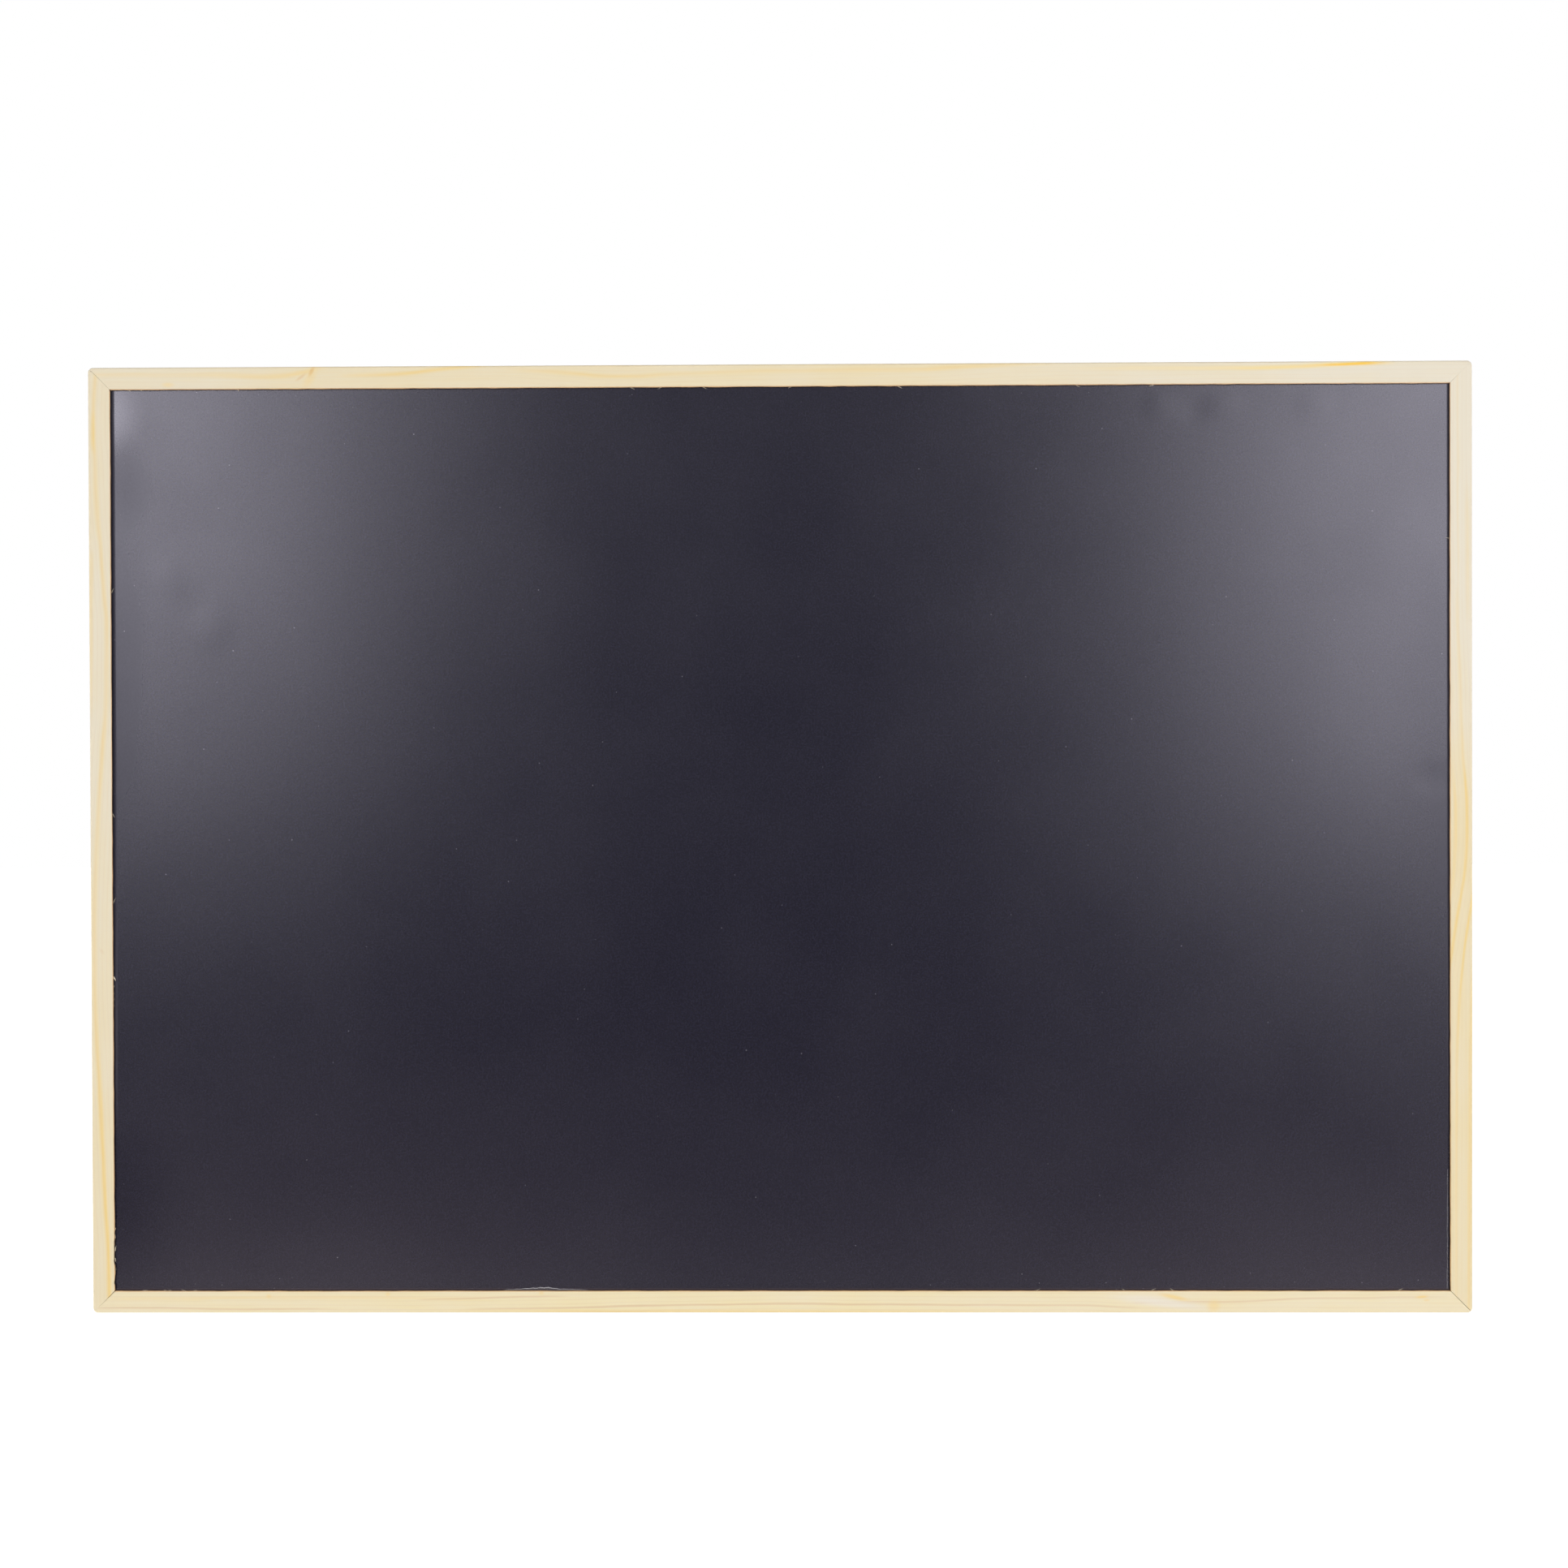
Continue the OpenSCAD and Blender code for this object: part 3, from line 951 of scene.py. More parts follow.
BOTTOM_GRAIN = RailGrain(
    along_axis=0, along_sign=1, along_start=300.0, across_axis=2, across_sign=1, across_start=407.15,
    length=600.0,
    tint=((0, 0.45), (100, 0.5), (200, 0.55), (330, 0.55), (430, 0.45), (600, 0.45)),
    bands=(
        Band(((170, 1.8), (190, 2.1), (225, 2.9), (260, 3.6), (300, 4.1), (340, 3.9), (376, 3.5),
              (430, 3.4), (450, 2.6)),
             ((160, 0.0), (185, 0.35), (240, 0.45), (400, 0.4), (440, 0.3), (458, 0.0)), 0.75, Hue.RED),
        Band(((0, 2.3), (20, 2.3), (60, 1.9), (100, 1.8)),
             ((0, 0.25), (20, 0.4), (80, 0.35), (110, 0.0)), 0.7, Hue.RED),
        Band(((140, 5.9), (165, 6.5), (200, 7.3)),
             ((140, 0.0), (165, 0.45), (190, 0.4), (210, 0.0)), 0.6, Hue.RED),
        Band(((150, 1.0), (200, 0.9), (300, 0.7), (450, 0.6)),
             ((145, 0.0), (190, 0.35), (230, 0.55), (320, 0.5), (380, 0.25), (470, 0.0)), 1.3),
        Band(((455, 4.4), (470, 4.9), (503, 5.2), (525, 6.2), (560, 6.7), (580, 7.0)),
             ((452, 0.0), (470, 0.4), (540, 0.3), (575, 0.25), (592, 0.0)), 0.75, Hue.RED),
        Band(((0, 6.2), (60, 6.7), (120, 6.9), (180, 6.0)),
             ((0, 0.0), (50, 0.3), (120, 0.25), (180, 0.0)), 1.2)),
    patches=(Patch(466.0, 4.6, 30.0, 3.2, -7.0, 0.85, Hue.PALE),
             Patch(471.0, 6.9, 9.0, 1.5, -12.0, 0.75), Patch(488.0, 3.0, 4.2, 4.0, 60.0, 0.5),
             Patch(77.0, 7.4, 1.8, 1.3, 0.0, 0.5), Patch(129.0, 8.3, 1.6, 1.3, 0.0, 0.5),
             Patch(196.0, 8.8, 1.6, 1.2, 0.0, 0.5), Patch(578.0, 7.0, 4.0, 1.0, 5.0, 0.8),
             Patch(580.0, 5.6, 2.0, 0.8, 0.0, 0.5)),
    fine_lines=0.2)
LEFT_GRAIN = RailGrain(
    along_axis=2, along_sign=-1, along_start=4.85, across_axis=0, across_sign=1, across_start=300.0,
    length=412.0,
    tint=((0, 0.32), (60, 0.32), (110, 0.2), (190, 0.25), (250, 0.35), (310, 0.45), (412, 0.55)),
    bands=(
        Band(((0, 3.6), (18, 2.3), (29, 2.2), (40, 2.9), (51, 3.2), (68, 4.2), (79, 5.2), (90, 6.0),
              (101, 6.8), (112, 7.7), (128, 7.6), (145, 7.3), (167, 5.5), (183, 4.3), (205, 3.1),
              (221, 2.3), (238, 1.6), (265, 1.5), (282, 1.9), (309, 3.2), (331, 4.4), (364, 5.5),
              (380, 6.6), (392, 7.0), (412, 7.3)),
             ((0, 0.4), (18, 0.5), (29, 0.8), (40, 0.45), (68, 0.4), (90, 0.5), (112, 0.45),
              (145, 0.35), (167, 0.5), (205, 0.35), (238, 0.4), (265, 0.5), (293, 0.55), (309, 0.7),
              (331, 0.8), (392, 0.9), (412, 0.8)), 1.8),
        Band(((80, 1.1), (101, 0.8), (130, 0.7), (155, 0.4)),
             ((78, 0.0), (95, 0.4), (125, 0.35), (155, 0.0)))),
    patches=(Patch(254.0, 4.8, 2.4, 1.0, 40.0, 0.15, Hue.RED),))
RIGHT_GRAIN = RailGrain(
    along_axis=2, along_sign=-1, along_start=4.85, across_axis=0, across_sign=-1, across_start=300.0,
    length=412.0,
    tint=((0, 0.05), (120, 0.1), (165, 0.3), (190, 0.55), (230, 0.6), (412, 0.6)),
    bands=(
        Band(((100, 6.6), (114, 6.3), (141, 5.3), (169, 4.3), (182, 3.0), (193, 2.4), (207, 2.6),
              (218, 3.2), (229, 4.6), (240, 6.6), (251, 8.3), (266, 10.8)),
             ((95, 0.0), (114, 0.25), (150, 0.3), (175, 0.5), (190, 0.85), (207, 0.8), (229, 0.75),
              (251, 0.75), (266, 0.4)), 1.3),
        Band(((225, -0.9), (232, 0.2), (240, 1.4), (251, 3.1), (262, 4.4), (276, 5.7), (289, 6.3),
              (311, 6.8), (412, 7.2)),
             ((222, 0.5), (245, 0.85), (262, 0.8), (280, 0.5), (311, 0.4), (345, 0.35), (412, 0.15)),
             1.1),
        Band(((172, 8.6), (182, 8.0), (193, 7.2), (207, 7.4), (220, 8.0), (235, 10.5)),
             ((170, 0.0), (185, 0.35), (200, 0.55), (215, 0.45), (235, 0.3)), 1.3),
        Band(((262, -0.3), (270, 0.2), (290, 0.8), (311, 1.2), (412, 1.6)),
             ((258, 0.0), (280, 0.45), (311, 0.5), (412, 0.5)), 1.3),
        Band(((55, 2.3), (85, 2.0), (115, 1.8)), ((50, 0.0), (85, 0.25), (118, 0.0))),
        Band(((0, 6.5), (60, 6.2), (100, 6.0)), ((0, 0.1), (60, 0.18), (105, 0.0)), 0.9)),
    fine_lines=0.14)


@dataclass
class Rail:
    """One pine rail: a merged copy of the CAD rail with a fuzzy sawn inner edge and a worn mitre."""

    node: str
    grain: RailGrain
    start_gap: tuple[float, float]
    end_gap: tuple[float, float]
    finish: PineFinish
    weld: float = 0.001 * MM
    flat_angle: float = 0.3
    slice_length: float = 5.0 * MM
    corner_cut: float = 1.5 * MM
    sliver: float = 0.005 * MM
    mitre_depth: float = 1.0 * MM
    mitre_slack: float = 0.02 * MM
    mitre_share: float = 0.25
    mitre_steps: tuple[float, ...] = (1.2 * MM, 4.0 * MM, 8.0 * MM, 12.0 * MM)
    lip_depth: float = 1.65 * MM
    lip_width: float = 0.5 * MM
    fuzz: float = 0.45 * MM
    fuzz_size: float = 5.0 * MM
    fuzz_depth: int = 3
    torn: tuple[float, float] = (0.0, 0.0)
    torn_slice: float = 1.2 * MM
    torn_fuzz: float = 2.2 * MM

    def across_of(self, corner: Vector) -> float:
        """Gives a point's distance from the rail's outer edge, in metres."""
        grain = self.grain
        return corner[grain.across_axis] * grain.across_sign + grain.across_start * MM

    def from_start(self, corner: Vector) -> float:
        """Gives a point's distance from the rail's start, in metres."""
        grain = self.grain
        return corner[grain.along_axis] * grain.along_sign + grain.along_start * MM

    def from_end(self, corner: Vector) -> float:
        """Gives a point's distance from the rail's end, in metres."""
        return self.grain.length * MM - self.from_start(corner)

    def build(self) -> None:
        """Models the rail and dresses it."""
        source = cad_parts[self.node]
        piece = bpy.data.objects.new(self.node + "_wood", source.data.copy())
        bpy.context.scene.collection.objects.link(piece)
        edit(piece)
        bpy.ops.mesh.remove_doubles(threshold=self.weld)
        bpy.ops.mesh.dissolve_limited(angle_limit=math.radians(self.flat_angle))
        self.slice_up()
        self.open_mitres(piece)
        self.roughen_lip(piece)
        smooth(piece)
        dress(piece, self.finish.material(self.node, self.grain))
        hand_over(piece, Slot.PINE, self.node)

    def slice_up(self) -> None:
        """Cuts the open rail across at even steps and near its ends, so that its edges can wander."""
        axis = self.grain.along_axis
        low, high = (corner[axis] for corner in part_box(self.node))
        count = int((high - low) / self.slice_length)
        places = [low + (high - low) * step / count for step in range(1, count)]
        first, last = self.torn
        extra = int((last - first) / self.torn_slice)
        places += [first + self.torn_slice * step for step in range(extra)]
        cut_across(axis, (low + self.corner_cut, *places, high - self.corner_cut))
        # A cut that falls beside a corner leaves slivers, which are closed.
        bpy.ops.mesh.select_all(action="SELECT")
        bpy.ops.mesh.remove_doubles(threshold=self.sliver)

    def open_mitres(self, piece: Object) -> None:
        """Draws the front of the mitred ends back a little, as joints open when the wood dries.

        Args:
            piece: the rail, open in edit mode.
        """
        grain = self.grain
        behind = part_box(self.node)[0].y + self.mitre_depth
        for distance, way, (outer, inner) in (
                (self.from_start, 1, self.start_gap), (self.from_end, -1, self.end_gap)):
            share = self.mitre_share
            draws = (outer, (1 - share) * outer + share * inner, inner)
            for draw, least, most in zip(draws, self.mitre_steps, self.mitre_steps[1:]):
                shift(piece, on_axis(grain.along_axis, draw * way * grain.along_sign),
                      lambda c: abs(distance(c) - self.across_of(c)) < self.mitre_slack
                      and least < self.across_of(c) <= most and c.y < behind)

    def roughen_lip(self, piece: Object) -> None:
        """Lets the front inner edge wander as a torn saw cut does.

        Args:
            piece: the rail.
        """
        deselect()
        corners = piece.data.vertices
        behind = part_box(self.node)[0].y + self.lip_depth
        inside = self.finish.width * MM - self.lip_width
        lip = [v.index for v in corners if v.co.y < behind and self.across_of(v.co) > inside]
        first, last = self.torn
        torn = [i for i in lip if first < corners[i].co[self.grain.along_axis] < last]
        group = piece.vertex_groups.new(name="lip")
        group.add(lip, self.fuzz / self.torn_fuzz, "REPLACE")
        group.add(torn, 1.0, "REPLACE")
        cloud = bpy.data.textures.new(self.node + "_fuzz", "CLOUDS")
        cloud.noise_scale = self.fuzz_size
        cloud.noise_depth = self.fuzz_depth
        finish_with(piece, "DISPLACE", texture=cloud, texture_coords="LOCAL", strength=self.torn_fuzz,
                    direction="XYZ"[self.grain.across_axis], vertex_group=group.name)
        piece.vertex_groups.clear()


class Edge(Enum):
    """The four inner edges of the frame: the fixed axis and place, and the way into the opening."""

    TOP = ("z", -4.85, -1)
    BOTTOM = ("z", -397.45, 1)
    LEFT = ("x", -290.3, 1)
    RIGHT = ("x", 290.3, -1)


@dataclass(frozen=True)
class Fibre:
    """One torn fibre: its edge and, in mm and degrees, its place along it, its sizes and its slant."""

    edge: Edge
    along: float
    length: float
    width: float = 0.25
    slant: float = 65.0
    root: float = 0.15
    front: float = -10.9

    def pose(self) -> tuple[tuple[float, float, float], tuple[float, float, float]]:
        """Works out where the fibre goes.

        Returns:
            Its middle in metres, and its turn, from upright to along its edge with a slant inwards.
        """
        axis, fixed, inward = self.edge.value
        tilt = math.radians(90 - abs(self.slant))
        along, front = self.along * MM, self.front * MM
        across = (fixed + inward * (self.length / 2 * math.sin(tilt) - self.root)) * MM
        if axis == "x":
            turn = tilt * inward if self.slant > 0 else math.pi - tilt * inward
            return (across, front, along), (0.0, turn, 0.0)
        turn = math.copysign(math.pi / 2 - tilt * inward, self.slant)
        return (along, front, across), (0.0, turn, 0.0)


FIBRES = tuple(Fibre(edge, *sizes) for edge, rows in {
    Edge.LEFT: (
        (-92.0, 2.4), (-190.0, 2.0, 0.3, -60.0), (-227.0, 2.8), (-261.2, 1.8, 0.9, -52.0),
        (-264.6, 1.3, 0.28, 74.0), (-267.4, 1.2, 0.24, -74.0), (-270.3, 1.4, 0.24, 70.0),
        (-272.8, 1.1, 0.22, -66.0), (-370.5, 1.4, 0.3, 72.0), (-374.0, 1.7, 0.4, -80.0),
        (-379.0, 2.2, 0.5, 82.0), (-384.0, 1.6, 0.4, -78.0), (-388.5, 2.0, 0.45, 82.0)),
    Edge.RIGHT: ((-71.6, 1.8, 0.22, 8.0),),
    Edge.TOP: (
        (-282.0, 1.4, 0.35, 60.0), (-276.7, 1.2, 0.35, -60.0), (-234.5, 1.3, 0.4, 50.0), (-63.0, 2.2),
        (-51.0, 2.0, 0.25, -65.0), (-31.5, 2.4), (5.4, 1.8, 0.25, -60.0), (53.0, 2.4, 0.3),
        (130.0, 2.2), (162.0, 2.6, 0.35, -70.0)),
    Edge.BOTTOM: (
        (-277.5, 2.4, 0.4, 82.0), (-268.6, 1.6, 0.35, -74.0), (-266.6, 1.6, 0.35, 74.0),
        (-260.5, 2.0, 0.4, -80.0), (-255.5, 1.8, 0.4, 78.0), (112.0, 2.2), (149.0, 1.8, 0.3, -60.0),
        (162.0, 2.2), (170.0, 1.8, 0.25, -60.0), (269.0, 2.4, 0.35))}.items() for sizes in rows)


@dataclass
class PineFrame:
    """The four rails round the panel, and the fibres torn up along their inner edges.

    Each corner's gap is given at its outer and its inner end. The fibres' pattern is 1 long and wide.
    """

    finish: PineFinish = field(default_factory=PineFinish)
    pale_finish: PineFinish = field(default_factory=lambda: PineFinish(
        cream="#E9DFCB", yellow="#EDDA9D", lip_shade_level=0.0))
    right_lip_shade: float = 0.6
    top_left: tuple[float, float] = (0.05 * MM, 0.05 * MM)
    top_right: tuple[float, float] = (0.012 * MM, 0.0)
    bottom_left: tuple[float, float] = (0.0, 0.32 * MM)
    bottom_right: tuple[float, float] = (0.13 * MM, 0.13 * MM)
    torn_foot: tuple[float, float] = (-395.0 * MM, -369.0 * MM)
    fibres: tuple[Fibre, ...] = FIBRES
    fibre_flatness: float = 0.6
    fibre_tip: float = 0.06
    fibre_cuts: tuple[float, ...] = (-0.2, 0.1, 0.3)
    fibre_leans: Curve = ((0.1, 0.05), (0.3, 0.12), (0.5, 0.25))
    fibre_slack: float = 0.01
    fibre_angle: float = 60.0

    def build(self) -> None:
        """Builds the rails in order."""
        # The shade painted on the lips' inner faces is left off the top and bottom rails, and is lighter
        # on the right stile.
        top_finish = replace(self.finish, lip_shade_level=0.0)
        right_finish = replace(self.finish, lip_shade_level=self.right_lip_shade)
        for rail in (
                Rail("top_rail", TOP_GRAIN, self.top_left, self.top_right, top_finish),
                Rail("bottom_rail", BOTTOM_GRAIN, self.bottom_left, self.bottom_right,
                     self.pale_finish),
                Rail("left_stile", LEFT_GRAIN, self.top_left, self.bottom_left, self.finish,
                     torn=self.torn_foot),
                Rail("right_stile", RIGHT_GRAIN, self.top_right, self.bottom_right, right_finish)):
            rail.build()
        self.build_fibres()

    def build_fibres(self) -> None:
        """Models one torn fibre and joins copies of it, one wherever the inner edge is frayed."""
        deselect()
        bpy.ops.mesh.primitive_cone_add(vertices=6, radius1=0.5, radius2=self.fibre_tip, depth=1.0)
        pattern = bpy.context.object
        edit(pattern)
        cut_across(2, self.fibre_cuts)
        for height, lean in self.fibre_leans:
            shift(pattern, (lean, 0.0, 0.0), lambda c: abs(c.z - height) < self.fibre_slack)
        deselect()
        copies = []
        for fibre in self.fibres:
            copy = bpy.data.objects.new("fibre", pattern.data.copy())
            bpy.context.scene.collection.objects.link(copy)
            copy.location, copy.rotation_euler = fibre.pose()
            width = fibre.width * MM
            copy.scale = (width, width * self.fibre_flatness, fibre.length * MM)
            copy.select_set(True)
            copies.append(copy)
        bpy.data.objects.remove(pattern)
        bpy.context.view_layer.objects.active = copies[0]
        bpy.ops.object.transform_apply(location=True, rotation=True, scale=True)
        bpy.ops.object.join()
        piece = settle(bpy.context.object, "edge_fibres")
        bpy.ops.object.shade_smooth_by_angle(angle=math.radians(self.fibre_angle))
        dress(piece, FibreFinish().material())
        hand_over(piece, Slot.PINE)


# The panel


@dataclass(frozen=True)
class Warp:
    """A place where the film isn't flat: its middle, reach and lift in mm, negative for a dent."""

    right: float
    up: float
    reach: float
    lift: float


WARPS = (
    Warp(-289.0, -28.0, 10.0, 0.06),
    Warp(-268.0, -86.0, 12.0, 0.06), Warp(-256.0, -98.0, 12.0, -0.06), Warp(-247.0, -110.0, 12.0, 0.05),
    Warp(166.0, -14.0, 9.0, 0.05), Warp(181.0, -15.0, 9.0, -0.05), Warp(194.0, -13.0, 9.0, 0.04),
    Warp(233.0, -14.0, 9.0, 0.05), Warp(284.0, -175.0, 10.0, -0.06))


@dataclass(frozen=True)
class Shred:
    """A shred of clear film by a lip, in mm: its start and end, its root and its rim's reaches."""

    name: str
    edge: Edge
    first: float
    last: float
    root: float
    reaches: tuple[float, ...]


SHREDS = (
    Shred("bottom_film_shred", Edge.BOTTOM, -120.0, -84.0, -0.4, (
        0.4, 0.6, 0.55, 0.8, 0.75, 1.05, 1.0, 1.3, 1.2, 1.55, 1.35, 1.6, 1.2, 1.1, 0.7, 0.8, 0.65, 0.7,
        0.5, 0.55, 0.4, 0.3)),
    Shred("right_film_shred", Edge.RIGHT, -397.0, -345.0, 0.75, (
        0.1, 0.15, 0.05, 0.1, 0.0, 0.1, 0.0, 0.05, -0.05, 0.0, -0.1)))


@dataclass
class Panel:
    """The writing film, the last shreds of its clear cover film, and the hardboard behind."""

    film_step: float = 3.0 * MM
    film_thickness: float = 0.3 * MM
    film_pick: float = 0.71
    warps: tuple[Warp, ...] = WARPS
    shreds: tuple[Shred, ...] = SHREDS
    shred_tail: float = 0.4 * MM
    shred_lift: float = 0.03 * MM
    shred_thickness: float = 0.04 * MM
    shred_slack: float = 0.1
    shred_angle: float = 40.0
    film: ChalkFilmFinish = field(default_factory=ChalkFilmFinish)
    core: HardboardFinish = field(default_factory=HardboardFinish)

    def build(self) -> None:
        """Builds the film's sheet and its shreds, and dresses the hardboard."""
        self.build_film()
        clear = ClearFilmFinish().material()
        for shred in self.shreds:
            self.build_shred(shred, clear)
        dress(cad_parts["hardboard_core"], self.core.material())
        LOG.info("hardboard_core: CAD shape kept")

    def build_film(self) -> None:
        """Models the film as one finely divided sheet with its small warps."""
        low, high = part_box("chalk_film")
        width, height = high.x - low.x, high.z - low.z
        deselect()
        bpy.ops.mesh.primitive_grid_add(
            x_subdivisions=int(width / self.film_step), y_subdivisions=int(height / self.film_step),
            size=1.0, location=((low.x + high.x) / 2, low.y, (low.z + high.z) / 2),
            rotation=(math.pi / 2, 0.0, 0.0))
        sheet = bpy.context.object
        sheet.scale = (width, height, 1.0)
        settle(sheet, "chalk_film_sheet")
        edit(sheet)
        # The nearest corners, up to four, are moved by hand and the rest follow.
        nearest = self.film_pick * self.film_step
        for warp in self.warps:
            middle = Vector((warp.right * MM, low.y, warp.up * MM))
            shift(sheet, (0.0, -warp.lift * MM, 0.0), lambda c: (c - middle).length < nearest,
                  use_proportional_edit=True, proportional_edit_falloff="SMOOTH",
                  proportional_size=warp.reach * MM)
        finish_with(sheet, "SOLIDIFY", thickness=self.film_thickness, offset=-1.0)
        smooth(sheet)
        dress(sheet, self.film.material())
        hand_over(sheet, Slot.CHALK_FILM, "chalk_film")

    def build_shred(self, shred: Shred, clear: Material) -> None:
        """Models a shred of clear cover film that lies on the writing film by a lip.

        Args:
            shred: its place and outline.
            clear: its finish.
        """
        axis, lip, inward = shred.edge.value
        upright = axis == "x"
        length = (shred.last - shred.first) * MM
        count = len(shred.reaches) - 1
        deselect()
        bpy.ops.mesh.primitive_grid_add(x_subdivisions=count, y_subdivisions=2, size=1.0)
        sheet = bpy.context.object
        sheet.scale = (length, self.shred_tail, 1.0)
        settle(sheet, shred.name)
        edit(sheet)
        for step, reach in enumerate(shred.reaches):
            column = (step / count - 0.5) * length
            shift(sheet, (0.0, reach * MM, 0.0),
                  lambda c: abs(c.x - column) < self.shred_slack * length / count
                  and c.y > self.shred_tail / 4)
        finish_with(sheet, "SOLIDIFY", thickness=self.shred_thickness, offset=0.0)
        bpy.ops.object.shade_smooth_by_angle(angle=math.radians(self.shred_angle))
        # It is turned to face forwards, with its rim towards the middle of the board.
        across = on_axis(0 if upright else 2, inward)
        ahead = on_axis(1, -1.0)
        turn = Matrix((across.cross(ahead), across, ahead)).transposed().to_4x4()
        middle, root = (shred.first + shred.last) / 2, lip + inward * shred.root
        right, up = (root, middle) if upright else (middle, root)
        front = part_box("chalk_film")[0].y - self.shred_lift
        sheet.matrix_world = Matrix.Translation((right * MM, front, up * MM)) @ turn
        settle(sheet, shred.name)
        dress(sheet, clear)
        hand_over(sheet, Slot.CHALK_FILM)


# Hangers and nails


@dataclass
class Hardware:
    """The steel on the back: hanger straps, rings, screws and corner nails."""

    plated: SteelFinish = field(default_factory=SteelFinish)
    bare: SteelFinish = field(default_factory=lambda: SteelFinish(
        name="bare_steel_strip", colour="#A9A8A4", dull="#77736C", roughness=0.4))

    def build(self) -> None:
        """Dresses the CAD pieces, whose shapes are right."""
        zinc = self.plated.material()
        for node in ("left_hanger_strap", "right_hanger_strap", "left_hanger_ring", "right_hanger_ring",
                     "hanger_screws"):
            dress(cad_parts[node], zinc)
        dress(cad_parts["corner_v_nails"], self.bare.material())
        LOG.info("hardware: CAD shapes kept")


# The studio


@dataclass(frozen=True)
class Softbox:
    """One soft lamp: its middle from the board's middle, its size in metres and its power."""

    name: str
    right: float
    front: float
    up: float
    width: float
    height: float
    power: float


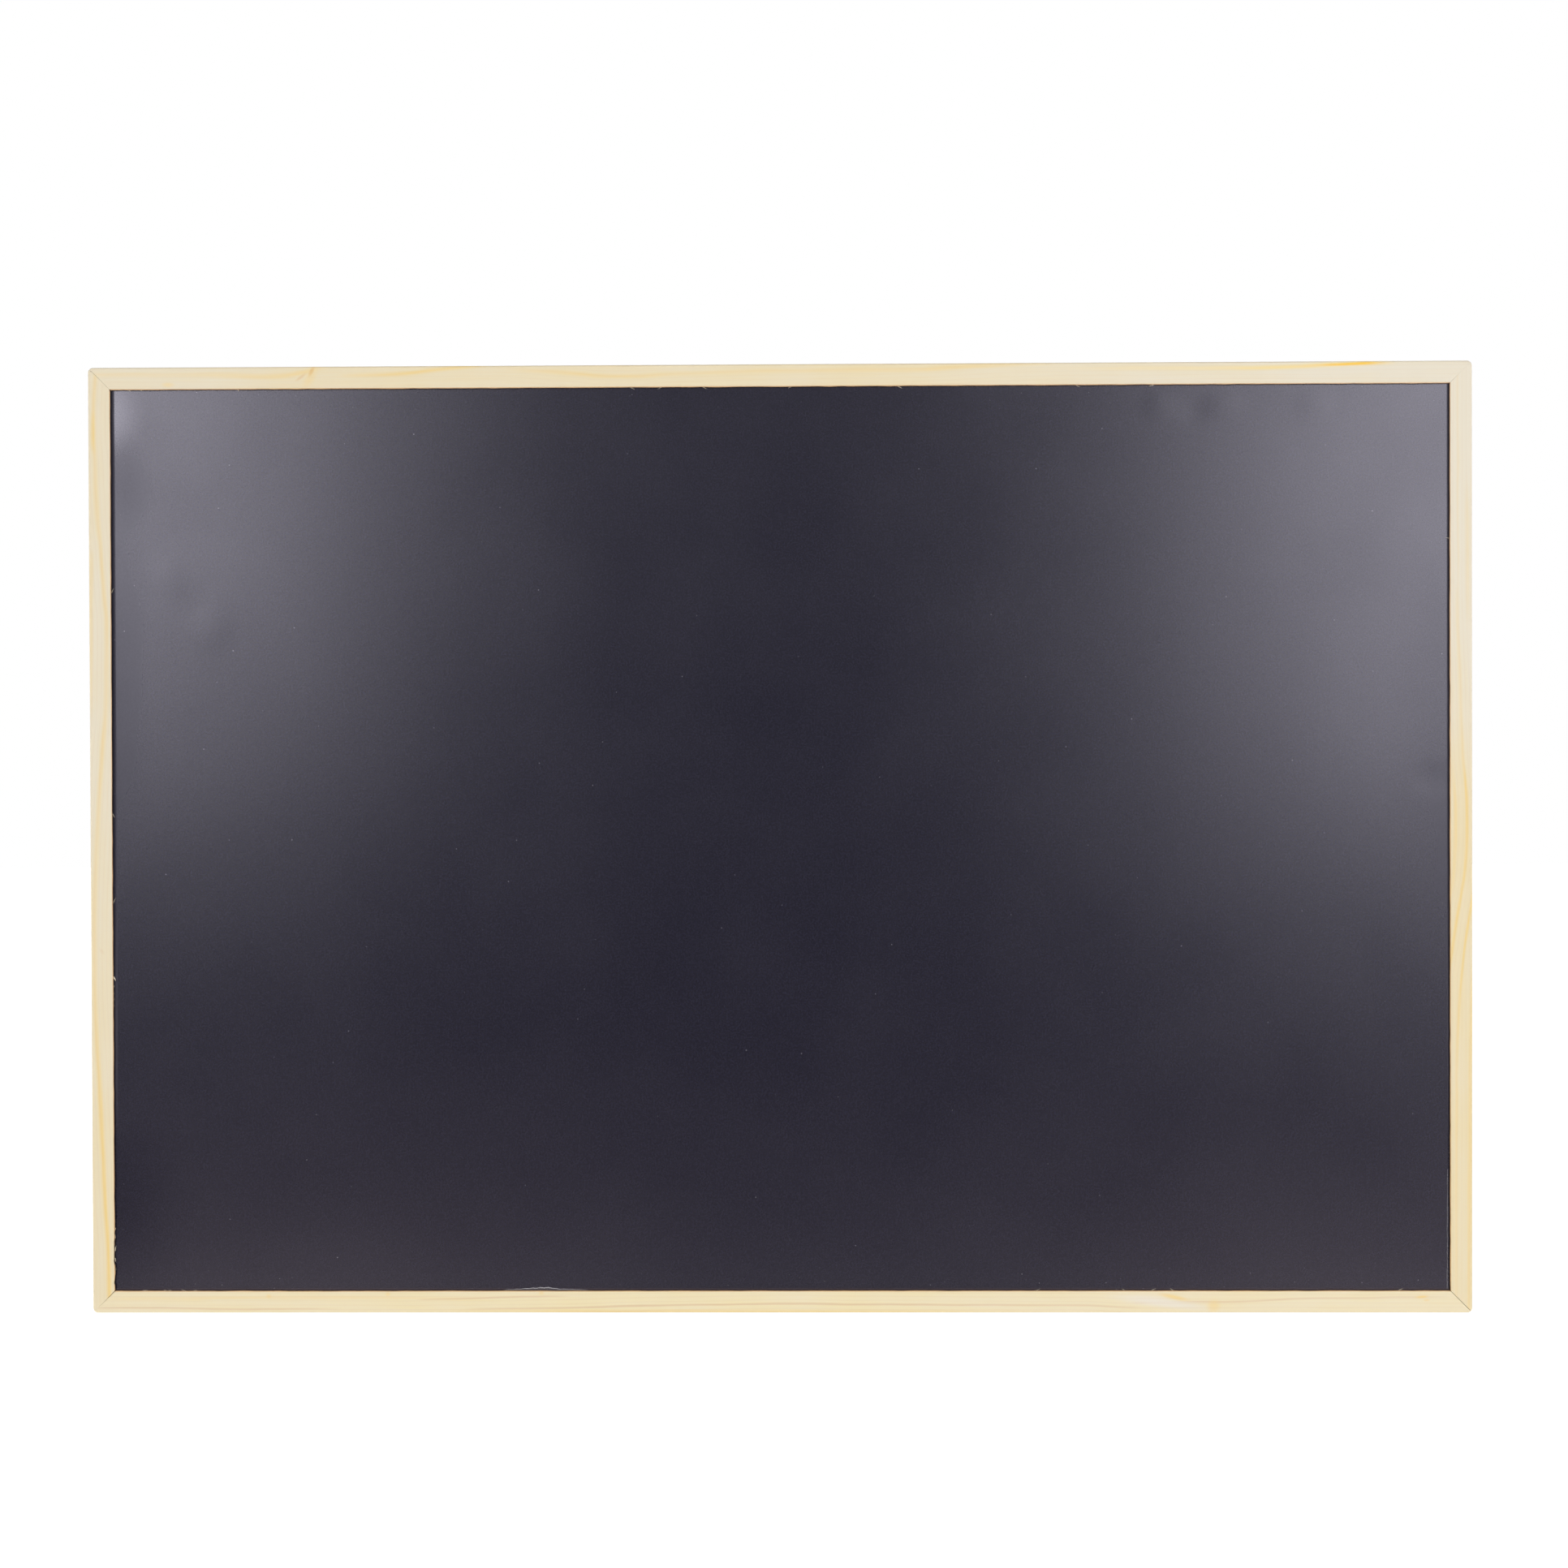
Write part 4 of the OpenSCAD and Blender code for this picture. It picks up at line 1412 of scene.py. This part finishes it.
@dataclass
class Studio:
    """Plain studio: a pale floor below, soft lamps, a white surround and the camera."""

    floor_drop: float = 0.43
    floor_size: float = 18.0
    floor_front: float = 2.1
    glow: tuple[float, float] = (0.28, 1.0)
    glow_reach: tuple[float, float] = (0.4, 1.1)
    # The painted pools of light that the floor glows with in mirrored rays only.
    pool_reach: tuple[float, float] = (-2.1, -1.5)
    pool_level: tuple[float, float] = (0.5, 1.4)
    pool_sides: tuple[float, float] = (2.5, 0.62)
    pool_middle: float = 0.53
    pool_half_width: float = 0.33
    pool_colour: str = "#FFECE2"
    floor_colour: str = "#F2F1EF"
    floor_roughness: float = 0.9
    surround: float = 0.235
    dark_room: float = 0.03
    dark_edge: tuple[float, float] = (-0.3, 0.1)
    sensor: float = 36.0
    lens: float = 65.28
    camera_place: tuple[float, float, float] = (0.0217, -1.2455, -0.1644)
    camera_turn: tuple[float, float, float] = (89.41, 0.185, 0.897)
    lamps: tuple[Softbox, ...] = (
        Softbox("left_softbox", -1.09, 3.0, 0.763, 0.568, 1.446, 30.0),
        Softbox("right_softbox", 1.18, 3.0, 0.640, 1.091, 1.392, 43.5),
        Softbox("back_softbox", 0.3, -2.6, 1.1, 1.6, 1.2, 45.0),
        Softbox("left_side_softbox", -2.2, -0.3, 0.1, 0.4, 1.2, 14.0),
        Softbox("right_side_softbox", 2.2, -0.3, 0.1, 0.4, 1.2, 10.0))

    def build(self) -> None:
        """Sets the camera, the lamps, the surround and the floor."""
        bpy.context.scene.view_settings.view_transform = "Standard"
        low, high = CAD_BOX
        middle = Vector((0.0, low.y, (low.z + high.z) / 2))
        self.set_camera()
        for lamp in self.lamps:
            self.hang_lamp(lamp, middle)
        self.set_surround()
        self.lay_floor(low.z - self.floor_drop)

    def set_camera(self) -> None:
        """Puts the camera where the photograph was taken from."""
        deselect()
        bpy.ops.object.camera_add(location=self.camera_place,
                                  rotation=[math.radians(turn) for turn in self.camera_turn])
        camera = bpy.context.object
        camera.data.sensor_width = self.sensor
        camera.data.lens = self.lens
        bpy.context.scene.camera = camera

    def hang_lamp(self, lamp: Softbox, middle: Vector) -> None:
        """Hangs one softbox, facing the board.

        Args:
            lamp: its place, size and power.
            middle: the middle of the board.
        """
        spot = middle + Vector((lamp.right, -lamp.front, lamp.up))
        deselect()
        bpy.ops.object.light_add(type="AREA", location=spot)
        light = bpy.context.object
        light.rotation_euler = (middle - spot).to_track_quat("-Z", "Y").to_euler()
        light.name = lamp.name
        light.data.shape = "RECTANGLE"
        light.data.size = lamp.width
        light.data.size_y = lamp.height
        light.data.energy = lamp.power
        light.visible_camera = False

    def watch_rays(self, tree: NodeTree) -> tuple[Node, NodeSocket]:
        """Tells rays from the camera, straight or through glass, from rays that mirror.

        Args:
            tree: the nodes of the surround or the floor.

        Returns:
            A node that gives 1 for a seen ray, and a socket that gives 1 for a mirrored one.
        """
        rays = add(tree, "LightPath").outputs
        seen = add(tree, "Math", rays["Is Camera Ray"], rays["Is Transmission Ray"],
                   operation="MAXIMUM")
        return seen, rays["Is Glossy Ray"]

    def set_surround(self) -> None:
        """Makes a white surround, with a dark room in front of the board for its sheen to mirror."""
        world = bpy.data.worlds.new("studio")
        bpy.context.scene.world = world
        world.use_nodes = True
        tree = world.node_tree
        tree.nodes.clear()
        seen, mirrored = self.watch_rays(tree)
        way = add(tree, "TexCoord")
        axes = add(tree, "SeparateXYZ", way.outputs["Generated"])
        room = add(tree, "MapRange", axes.outputs[1], *self.dark_edge, self.dark_room, 1.0)
        level = add(tree, "Mix", mirrored, self.surround, room)
        level = add(tree, "Mix", seen, level, 1.0)
        light = add(tree, "Background", {"Color": WHITE, "Strength": level})
        add(tree, "OutputWorld", light)

    def lay_floor(self, height: float) -> None:
        """Lays the floor under the board.

        Args:
            height: its height in metres.
        """
        deselect()
        bpy.ops.mesh.primitive_plane_add(
            size=self.floor_size, location=(0.0, self.floor_size / 2 - self.floor_front, height))
        floor = settle(bpy.context.object, "floor")
        made, tree, place = new_material("white_painted_floor")
        axes = add(tree, "SeparateXYZ", place.outputs["Object"])
        # Seen, it fades to white away from the board.
        flat = add(tree, "CombineXYZ", axes.outputs[0], axes.outputs[1])
        away = add(tree, "VectorMath", flat, operation="LENGTH")
        fade = add(tree, "MapRange", away, *self.glow_reach, *self.glow)
        # Mirrored, it glows with a painted pool of light below each lamp, which the foot of the film
        # shows.
        aside = add(tree, "Math", axes.outputs[0], operation="ABSOLUTE")
        beside = add(tree, "Math", aside, self.pool_middle, operation="SUBTRACT")
        beside = add(tree, "Math", beside, operation="ABSOLUTE")
        sides = add(tree, "MapRange", beside, 0.0, self.pool_half_width, *self.pool_sides,
                    interpolation_type="SMOOTHSTEP")
        pool = add(tree, "MapRange", axes.outputs[1], *self.pool_reach, *self.pool_level)
        pool = add(tree, "Math", pool, sides, operation="MULTIPLY")
        seen, mirrored = self.watch_rays(tree)
        glow = add(tree, "Math", seen, fade, operation="MULTIPLY")
        glow = add(tree, "Math", mirrored, pool, glow, operation="MULTIPLY_ADD")
        tint = add(tree, "Mix", mirrored, WHITE, linear(self.pool_colour), data_type="RGBA")
        paint = add(tree, "BsdfPrincipled", {
            "Base Color": linear(self.floor_colour), "Roughness": self.floor_roughness,
            "Specular IOR Level": 0.0, "Emission Color": tint, "Emission Strength": glow})
        add(tree, "OutputMaterial", paint)
        dress(floor, made)


def main() -> None:
    """Builds the studio and the object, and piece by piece."""
    logging.basicConfig(level=logging.INFO, format="%(name)s %(message)s")
    Studio().build()
    PineFrame().build()
    Panel().build()
    Hardware().build()
    deselect()


if __name__ == "__main__":
    main()
